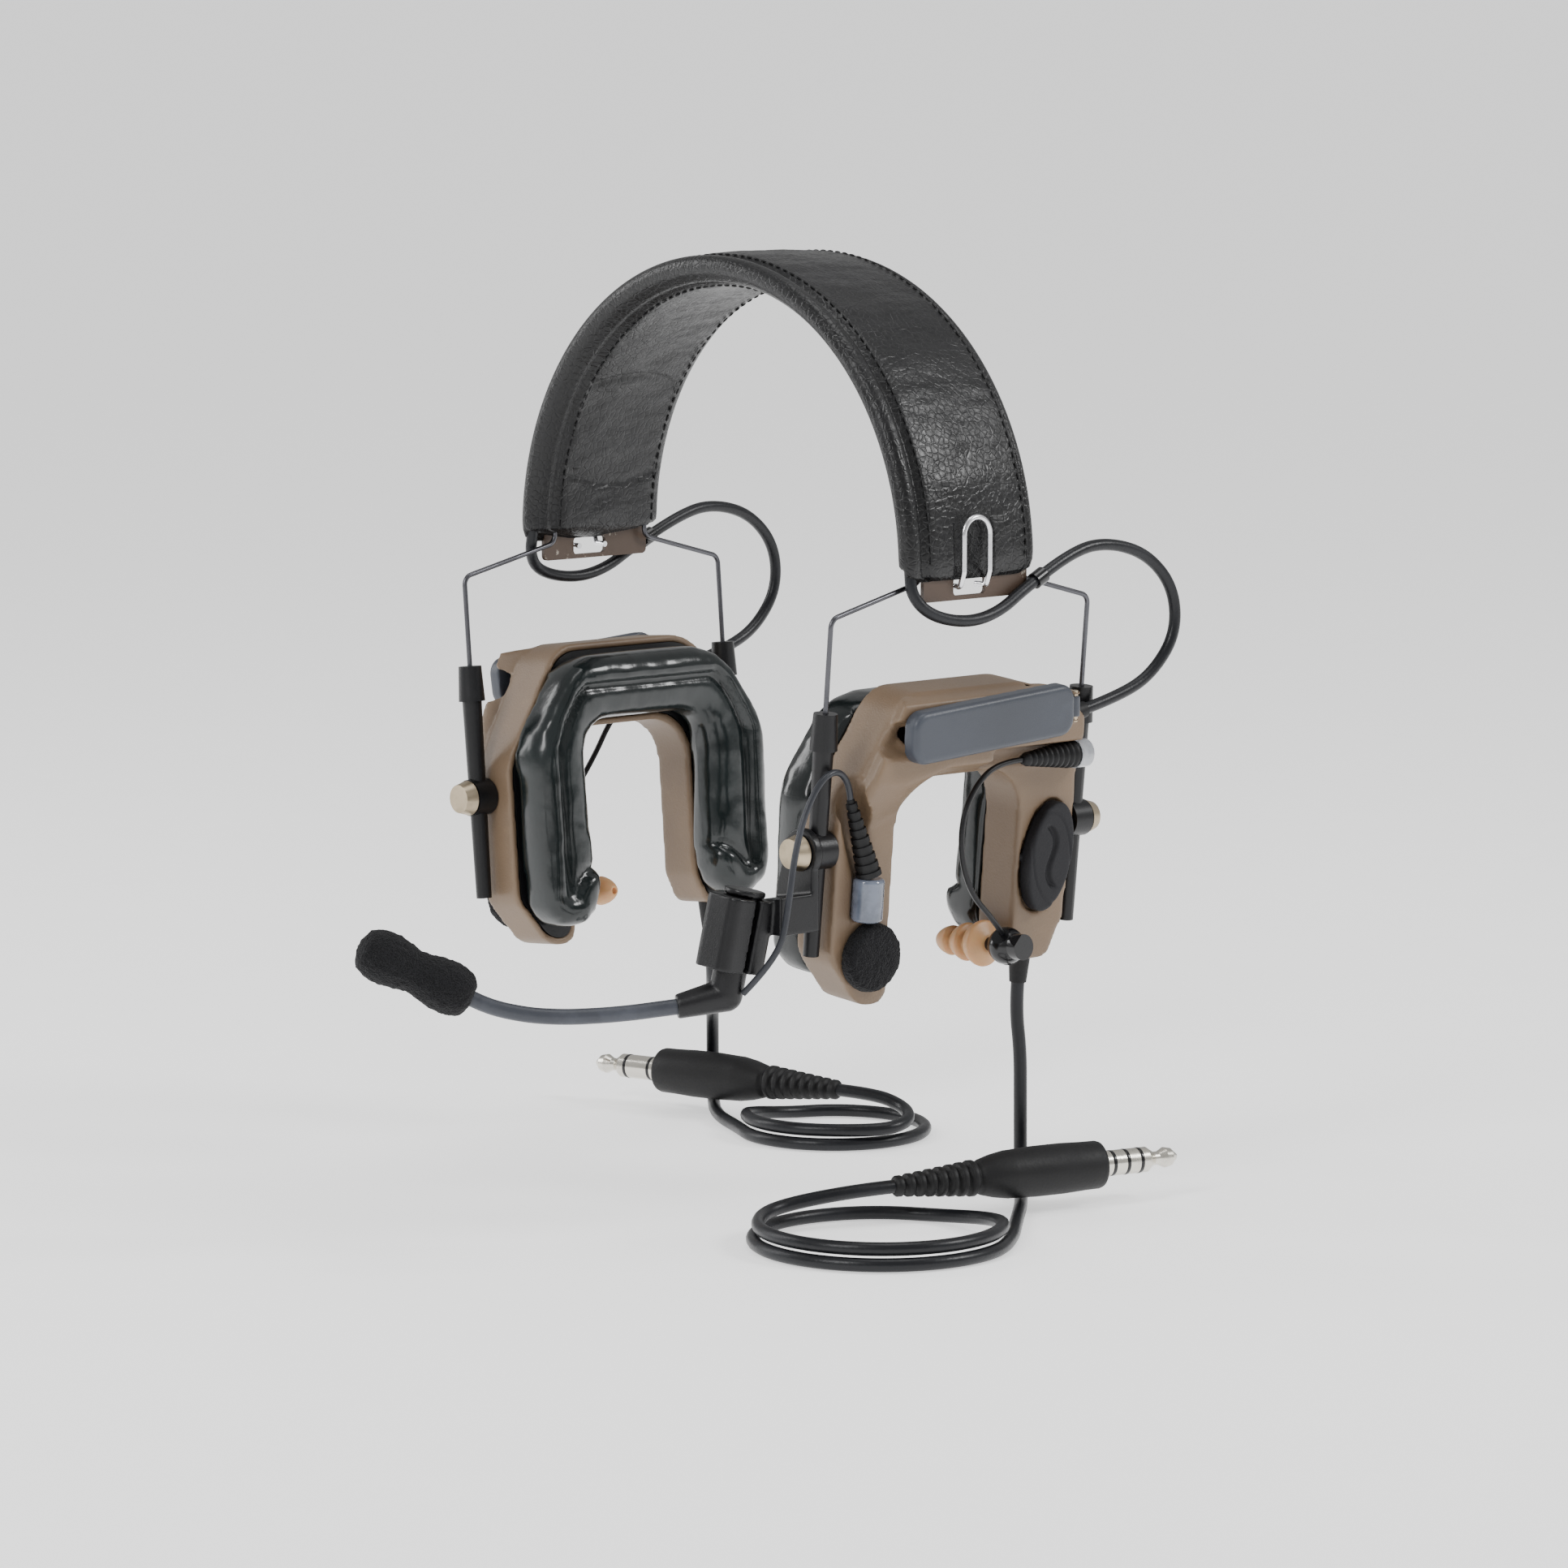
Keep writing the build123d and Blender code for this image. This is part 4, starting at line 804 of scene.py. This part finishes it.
class HEADSET_OT_cords(Piece):
    """Cord over the band, loops, boom cord, ear cords and the two leads"""

    bl_idname = "headset.cords"
    bl_label = "Cords"

    def build(self, sizes, colours):
        over = [(BEAD_ARCH * 1.004 * math.cos(a), BEAD_Y, BAND_END + BEAD_ARCH * 1.004 * math.sin(a))
                for a in (math.radians(12.0 * i) for i in range(1, 15))]
        route = list(reversed(SAG)) + over + mirrored(SAG)
        free_cord("crossover_cord", route, sizes.cord_radius, "headband", "jacket",
                  ["crossover_cable"])
        for side in (LEFT, RIGHT):
            word = WORDS[side]
            loop = LOOP if side == LEFT else mirrored(LOOP)
            upper, lower = split(loop, 4)
            bending_cord(f"{word}_loop_upper", upper, sizes.cord_radius,
                         "jacket", [f"{word}_loop_cable"])
            bending_cord(f"{word}_loop_lower", lower, sizes.cord_radius,
                         "jacket")
            ear = LEFT_EAR if side == LEFT else RIGHT_EAR
            free_cord(f"{word}_ear_cord", ear, sizes.thin_radius, f"{word}_cup", "thin_jacket",
                      [f"{word}_earplug_cable"])
            aim = Vector(PLUG_AIM[side])
            foot = Vector(PLUG_FOOT[side])
            lead = (LEFT_LEAD if side == LEFT else RIGHT_LEAD) + [tuple(foot - aim * 13), tuple(foot + aim * 2)]
            free_cord(f"{word}_lead_cord", lead, sizes.lead_radius, f"{word}_cup", "jacket",
                      [f"{word}_lead"])
        first, second = split(MIC, 4)
        bending_cord("mic_cord_upper", first, sizes.mic_radius, "mic_jacket",
                     ["mic_cable"])
        bending_cord("mic_cord_lower", second, sizes.mic_radius, "mic_jacket")


class HEADSET_OT_plugs(Piece):
    """Plug bodies with their ribbed tails, and the insulating rings on the pins"""

    bl_idname = "headset.plugs"
    bl_label = "Plugs"

    def build(self, sizes, colours):
        tree = beads_on_path()
        for side in (LEFT, RIGHT):
            word = WORDS[side]
            profile = [(0, 0), (0, 2.0)]
            for rib in range(8):
                at = 0.6 + rib * 3.2
                wide = 2.5 + (4.9 - 2.5) * (rib + 1) / 8
                profile += [(at, wide - 0.1), (at + 0.4, wide + 0.15), (at + 1.6, wide + 0.15), (at + 2.0, wide - 0.1),
                            (at + 2.15, wide - 0.95), (at + 3.05, wide - 0.95)]
            profile += [(26.6, 4.7), (27.2, 5.0), (31.0, 6.0), (35.4, 6.7), (36.0, 6.7), (44.4, 7.05), (53.0, 7.05),
                        (60.0, 6.75), (64.0, 6.7), (64.8, 6.45), (65.0, 5.9), (65.0, 0)]
            barrel = turned(f"{word}_plug_barrel", PLUG_FOOT[side], PLUG_AIM[side], profile, 64)
            finished(barrel, "rubber", f"{word}_cup")
            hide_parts(f"{word}_plug_body")
            self.tail(side)
            aim = Vector(PLUG_AIM[side])
            start = Vector(PIN_FOOT[side])
            span = 4.4 * (sizes.ring_count - 1)
            line = metres([start + aim * 3.6, start + aim * (3.6 + span)])
            rings = beaded(f"{word}_plug_rings", [line], tree, Step=0.0044, Length=0.0011, Radius=0.00366,
                           Sides=40, Roundness=0.02, Finish=FINISHES["gloss_black"])
            finished(rings, "gloss_black", f"{word}_cup")


    def tail(self, side):
        """The ribbed tail that the ear cord leaves by."""
        word = WORDS[side]
        length, ribs = 19.6, 9
        profile = [(0, 0), (0, 3.75), (1.6, 3.75)]
        for rib in range(ribs):
            at = 2.0 + rib * 1.85
            wide = 3.8 - 2.0 * rib / ribs
            profile += [(at, wide - 0.6), (at + 0.5, wide - 0.6), (at + 0.7, wide), (at + 1.5, wide - 0.1)]
        profile += [(length - 0.6, 1.5), (length, 1.3), (length, 0)]
        made = turned(f"{word}_ear_cord_tail", (side * 81.81, 38.6, -127.83), (0, -1, 0), profile, 40)
        finished(made, "rubber", f"{word}_cup")
        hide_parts(f"{word}_earplug_relief")


class HEADSET_OT_headband(Piece):
    """Leather cover with its rolled front edge, windows and stitches"""

    bl_idname = "headset.headband"
    bl_label = "Headband"

    def section(self, turn):
        """The leather's outline at one place along the arch: (y, radius) in millimetres."""
        puff = 0.25 * math.sin(turn * 9.0) + 0.2 * math.sin(turn * 23.0 + 1.0)
        outline = []
        for i in range(15):
            a = math.radians(-62 + 214 * i / 14)
            outline.append((BEAD_Y + 3.1 * math.sin(-a) , BEAD_ARCH + 3.1 * math.cos(a)))
        top = []
        for i in range(15):
            a = math.radians(62 - 208 * i / 14)
            top.append((BEAD_Y + 3.1 * math.sin(a), BEAD_ARCH + 3.1 * math.cos(a)))
        lining = [(-20.2, 75.1), (-19.0, 74.9), (-18.2, 75.4), (-17.5, 75.0), (-16.4, 74.2)]
        under = [(y, 73.85 - 0.25 - puff * 0.5 + 0.0010 * y * y) for y in np.linspace(-14.5, 18.5, 14)]
        rear = [(20.5, 74.4), (22.4, 75.2), (23.6, 76.6), (23.7, 77.7), (24.25, 78.6), (24.2, 80.2), (23.3, 81.5),
                (22.0, 82.1), (21.2, 82.2), (20.7, 81.7), (20.2, 82.3)]
        over = [(y, 82.35 + 0.55 * (1 - (y / 20.0) ** 2) + puff * 0.25) for y in np.linspace(18.5, -15.4, 15)]
        join = [(-16.5, 82.2), (-17.2, 81.6), (-17.8, 81.2)]
        return top + lining + under + rear + over + join

    def flap(self, radius, end):
        """How far the outer leather hangs below the lining at the arch's two ends."""
        return 4.6 * float(step(radius, 79.3, 80.9)) if end == 0 else 0.0

    def build(self, sizes, colours):
        steps = 150
        work = bmesh.new()
        loops = []
        for i in range(steps + 1):
            turn = math.pi * i / steps
            end = min(i, steps - i)
            tuck = {0: 0.55, 1: 0.12}.get(end, 0.0)
            loop = []
            for y, radius in self.section(turn):
                middle = 78.1
                pulled = middle + (radius - middle) * (1 - 0.35 * tuck)
                x = pulled * math.cos(turn)
                z = BAND_END + pulled * math.sin(turn) - self.flap(radius, end)
                loop.append(work.verts.new(Vector((x, y * (1 - 0.03 * tuck), z)) * MM))
            loops.append(loop)
        for low, high in zip(loops, loops[1:]):
            for i in range(len(low)):
                j = (i + 1) % len(low)
                work.faces.new((low[i], low[j], high[j], high[i]))
        work.faces.new(loops[0])
        work.faces.new(loops[-1])
        bmesh.ops.recalc_face_normals(work, faces=work.faces)
        mesh = bpy.data.meshes.new("band_leather")
        work.to_mesh(mesh)
        work.free()
        band = linked("band_leather", mesh)
        fine = band.modifiers.new("fine", "SUBSURF")
        fine.levels = fine.render_levels = 1
        applied(band)
        self.crease(band)
        self.window(band)
        finished(band, "leather", "headband")
        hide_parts("band_cover", "band_pad")
        self.stitch(sizes)

    def crease(self, band):
        """Folds across the lining and a curved seam near each end."""
        points = points_of(band) / MM
        radius = np.hypot(points[:, 0], points[:, 2] - BAND_END)
        turn = np.degrees(np.arctan2(points[:, 2] - BAND_END, points[:, 0]))
        y = points[:, 1]
        inside = 1 - step(radius, 74.6, 76.2)
        outside = step(radius, 80.8, 82.0)
        flat = step(y, -16.5, -13.0) * (1 - step(y, 18.0, 22.0))
        push = np.zeros(len(points))
        for end in (turn, 180.0 - turn):
            bow = 33.0 + 5.0 * (1 - (y / 20.0) ** 2)
            push += inside * flat * 0.9 * np.exp(-((end - bow) / 1.1) ** 2)
            bow = 14.0 - 3.5 * (1 - ((y - 4.0) / 18.0) ** 2)
            push += inside * flat * 0.6 * np.exp(-((end - bow) / 1.0) ** 2)
        wave = np.array([noise.fractal(Vector((a * 0.11, b * 0.035, 3.0)), 0.7, 2.0, 4) for a, b in zip(turn, y)])
        fine = np.array([noise.fractal(Vector((a * 0.35, b * 0.12, 9.0)), 0.6, 2.0, 3) for a, b in zip(turn, y)])
        push += inside * flat * (0.55 * wave + 0.18 * fine)
        push -= outside * flat * (0.40 * wave + 0.10 * fine)
        away = np.stack([points[:, 0], np.zeros(len(points)), points[:, 2] - BAND_END], axis=1) / radius[:, None]
        put_points(band, (points + away * push[:, None]) * MM)

    def window(self, band):
        """Arch-shaped windows for the wire clips, cut through the outer leather."""
        for side in (LEFT, RIGHT):
            work = bmesh.new()
            arch = [(-7.5, -82.0)] + [(7.5 * math.cos(a), -64.35 + 7.5 * math.sin(a))
                                       for a in (math.radians(180 - 12 * i) for i in range(16))] + [(7.5, -82.0)]
            faces = [work.faces.new([work.verts.new(Vector((side * x, y, z)) * MM) for y, z in arch])
                     for x in (81.35, 86.0)]
            for i in range(len(arch)):
                j = (i + 1) % len(arch)
                work.faces.new((faces[0].verts[i], faces[0].verts[j], faces[1].verts[j], faces[1].verts[i]))
            bmesh.ops.recalc_face_normals(work, faces=work.faces)
            mesh = bpy.data.meshes.new("window")
            work.to_mesh(mesh)
            work.free()
            cutter = linked("window", mesh)
            cut = band.modifiers.new("window", "BOOLEAN")
            cut.operation = "DIFFERENCE"
            cut.solver = "EXACT"
            cut.object = cutter
            applied(band)
            drop(cutter)

    def stitch(self, sizes):
        """Thread along the front roll, the rear edge and the lining."""
        lines = []
        for y, radius, low in ((-16.3, 82.55, 2), (-15.2, 73.75, 2), (19.6, 82.5, 2), (19.4, 73.9, 2)):
            lines.append([Vector((radius * math.cos(a), y, BAND_END + radius * math.sin(a))) * MM
                          for a in (math.radians(low + (180 - 2 * low) * i / 240) for i in range(241))])
        thread = beaded("band_stitches", lines, beads_on_path(), Step=sizes.stitch_pitch,
                        Length=sizes.stitch_length, Radius=0.00030, Sides=7, Roundness=0.6,
                        Finish=FINISHES["thread"])
        finished(thread, "thread", "headband")


class HEADSET_OT_cushions(Piece):
    """Ear cushions: filled covers with a sewn channel"""

    bl_idname = "headset.cushions"
    bl_label = "Cushions"

    def build(self, sizes, colours):
        for side in (LEFT, RIGHT):
            word = WORDS[side]
            pad = copied(f"{word}_ear_cushion", [f"{word}_cushion"])
            remeshed(pad, 0.0024, 3)
            rest = points_of(pad)
            self.fill(pad, sizes.pad_pressure)
            moved = points_of(pad) - rest
            far = np.linalg.norm(moved, axis=1)
            scale = np.where(far > 0.0016, 0.0016 / np.maximum(far, 1e-9), 1.0)
            put_points(pad, rest + moved * scale[:, None])
            fine = pad.modifiers.new("fine", "SUBSURF")
            fine.levels = fine.render_levels = 1
            applied(pad)
            self.shape(pad, side)
            finished(pad, "vinyl", f"{word}_cup")
            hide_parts(f"{word}_cushion")

    def fill(self, pad, pressure):
        """Blows the cover up with the cloth simulation."""
        cloth = pad.modifiers.new("cloth", "CLOTH")
        cloth.settings.use_pressure = True
        cloth.settings.uniform_pressure_force = pressure
        cloth.settings.effector_weights.gravity = 0.0
        cloth.settings.quality = 6
        cloth.point_cache.frame_start = 1
        cloth.point_cache.frame_end = 20
        for number in range(1, 21):
            bpy.context.scene.frame_set(number)
        applied(pad)
        bpy.context.scene.frame_set(1)

    def shape(self, pad, side):
        """Outer roll, sewn channel, lower inner roll and puckers at the leg ends."""
        rear, height, depth = cup_places(side, points_of(pad))
        edge = gap_to(CUSHION_RIM, rear, height)
        face = 1 - step(depth, -18.0, -12.5)
        channel = np.exp(-((edge - 8.6) / 1.05) ** 2)
        inner = step(edge, 8.2, 10.2)
        roll = np.clip(1 - ((edge - 4.3) / 4.6) ** 2, 0, 1)
        crown = np.clip(1 - ((edge - 14.6) / 5.8) ** 2, 0, 1)
        wave = np.array([noise.fractal(Vector((a * 0.16, b * 0.10, side * 4.0)), 0.8, 2.0, 3)
                         for a, b in zip(rear, height)])
        ends = 1 - step(height, -34.0, -18.0)
        legs = step(height, -38.0, -17.0)
        push = (2.6 * channel + 1.9 * inner) * legs - 1.2 * roll - 0.5 * crown * inner
        push += (0.25 + 0.5 * ends) * wave
        depth = depth + face * push
        depth = np.minimum(depth, -10.25)
        put_points(pad, row_places(side, rear, height, depth))


class HEADSET_OT_foams(Piece):
    """Boom windscreen and the round foams over the cup microphones"""

    bl_idname = "headset.foams"
    bl_label = "Foams"

    def build(self, sizes, colours):
        end = Vector(BOOM[-1])
        aim = (end - Vector(BOOM[-2])).normalized()
        knots = [(0, 3.9), (1.0, 5.4), (3.2, 6.6), (7.5, 7.1), (12.2, 6.5), (16.3, 5.8), (20.4, 6.5), (25, 7.1),
                 (29.5, 6.3), (32.0, 4.2), (33.0, 1.6)]
        profile = [(0, 0)] + rounded_profile(knots, 70) + [(33.2, 0)]
        screen = turned("boom_windscreen", end - aim * 4.0, aim, profile, 96)
        rough_up(screen, 0.0016, 0.00028, 2.0)
        finished(screen, "foam", "boom")
        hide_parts("windscreen")
        for side in (LEFT, RIGHT):
            word = WORDS[side]
            foot = cup_point(side, -31.5, -30.0, 3.9) / MM
            outwards = cup_point(side, -31.5, -30.0, 4.9) / MM - foot
            rows = [(0, 0), (0, 4.0), (0, 8.8), (0.5, 9.4), (2.0, 9.55), (3.4, 9.4), (4.4, 8.9), (5.0, 8.0), (5.4, 6.0),
                    (5.6, 4.0), (5.65, 2.0), (5.7, 0)]
            disc = turned(f"{word}_mic_foam", foot, outwards, rows, 72)
            fine = disc.modifiers.new("fine", "SUBSURF")
            fine.levels = fine.render_levels = 2
            applied(disc)
            rough_up(disc, 0.0015, 0.00022, side * 3.0)
            finished(disc, "foam", f"{word}_cup")
            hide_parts(f"{word}_ambient_mic_foam")


class HEADSET_OT_ear_tips(Piece):
    """Three-flanged soft ear tips"""

    bl_idname = "headset.ear_tips"
    bl_label = "Ear tips"

    def build(self, sizes, colours):
        rows = [(6.6, 0), (6.6, 2.6), (7.0, 3.2), (7.8, 4.6), (8.3, 6.1), (8.8, 6.5), (9.4, 6.5), (10.4, 6.2), (12.4, 5.2),
                (13.8, 3.7), (14.3, 3.3), (14.6, 4.4), (14.9, 5.2), (15.5, 5.45), (16.4, 5.2), (18.6, 4.3),
                (20.0, 2.9), (20.4, 2.7), (20.7, 3.6), (21.1, 4.15), (21.7, 4.25), (22.6, 4.05), (24.6, 3.4),
                (26.4, 2.2), (27.2, 1.3), (27.3, 0.9), (26.0, 0.85), (26.0, 0)]
        for side in (LEFT, RIGHT):
            word = WORDS[side]
            aim = Vector(EAR_TIP[side]) - Vector(EAR_BALL[side])
            tip = turned(f"{word}_soft_tip", EAR_BALL[side], aim, rows, 48)
            fine = tip.modifiers.new("fine", "SUBSURF")
            fine.levels = fine.render_levels = 1
            applied(tip)
            finished(tip, "tip", f"{word}_cup")
            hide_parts(f"{word}_ear_tip")


class HEADSET_OT_shells(Piece):
    """Moulded shells, battery covers, keypad, bracket and boom leg with rounded edges"""

    bl_idname = "headset.shells"
    bl_label = "Shells and covers"

    def build(self, sizes, colours):
        for side in (LEFT, RIGHT):
            word = WORDS[side]
            shell = remeshed(copied(f"{word}_cup_shell", [f"{word}_shell"]), sizes.wall_voxel, 5)
            finished(shell, "shell", f"{word}_cup")
            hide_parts(f"{word}_shell")
            cover = remeshed(copied(f"{word}_battery_lid", [f"{word}_battery_cover"]), 0.0004, 4)
            finished(cover, "cover", f"{word}_battery_door")
            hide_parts(f"{word}_battery_cover")
        keys = remeshed(copied("rocker_key", ["keypad"]), 0.0004, 4)
        rear, height, depth = cup_places(LEFT, points_of(keys))
        tilt = math.radians(-10.0)
        across = (rear - 34.0) * math.cos(tilt) - (height + 8.5) * math.sin(tilt)
        along = (rear - 34.0) * math.sin(tilt) + (height + 8.5) * math.cos(tilt)
        bend = 1.9 * np.sin(along / 9.0 * math.pi)
        groove = np.exp(-((across - bend) / 0.95) ** 4) * (1 - step(np.abs(along), 8.0, 9.6))
        oval = np.hypot(across / 8.3, along / 15.5)
        rim = np.exp(-((oval - 0.86) / 0.035) ** 2)
        depth = depth - step(depth, 5.0, 6.4) * (1.1 * groove + 0.35 * rim)
        put_points(keys, row_places(LEFT, rear, height, depth))
        finished(keys, "keys", "keypad_rocker")
        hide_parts("keypad")
        for name, node, body in (("boom_clamp", "boom_bracket", "bracket"), ("boom_elbow", "boom_leg", "boom")):
            part = remeshed(copied(name, [node]), 0.0004, 3)
            finished(part, "black_plastic", body)
            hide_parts(node)


STEPS = (HEADSET_OT_stage, HEADSET_OT_finishes, HEADSET_OT_plugs, HEADSET_OT_ear_tips, HEADSET_OT_cords,
         HEADSET_OT_headband, HEADSET_OT_cushions, HEADSET_OT_foams, HEADSET_OT_shells)


class HEADSET_PT_panel(bpy.types.Panel):
    """Lists the headset's sizes, colours and building steps"""

    bl_idname = "HEADSET_PT_panel"
    bl_label = "Headset"
    bl_space_type = "VIEW_3D"
    bl_region_type = "UI"
    bl_category = "Headset"

    def draw(self, context):
        for group in (context.scene.headset_sizes, context.scene.headset_colours):
            for name in group.__annotations__:
                self.layout.prop(group, name)
        for made in STEPS:
            self.layout.operator(made.bl_idname)


CLASSES = (HeadsetSizes, HeadsetColours, *STEPS, HEADSET_PT_panel)


def register():
    for made in CLASSES:
        bpy.utils.register_class(made)
    bpy.types.Scene.headset_sizes = bpy.props.PointerProperty(type=HeadsetSizes)
    bpy.types.Scene.headset_colours = bpy.props.PointerProperty(type=HeadsetColours)


def unregister():
    del bpy.types.Scene.headset_colours
    del bpy.types.Scene.headset_sizes
    for made in reversed(CLASSES):
        bpy.utils.unregister_class(made)


def main():
    register()
    for made in STEPS:
        group, name = made.bl_idname.split(".")
        getattr(getattr(bpy.ops, group), name)()


if __name__ == "__main__":
    main()
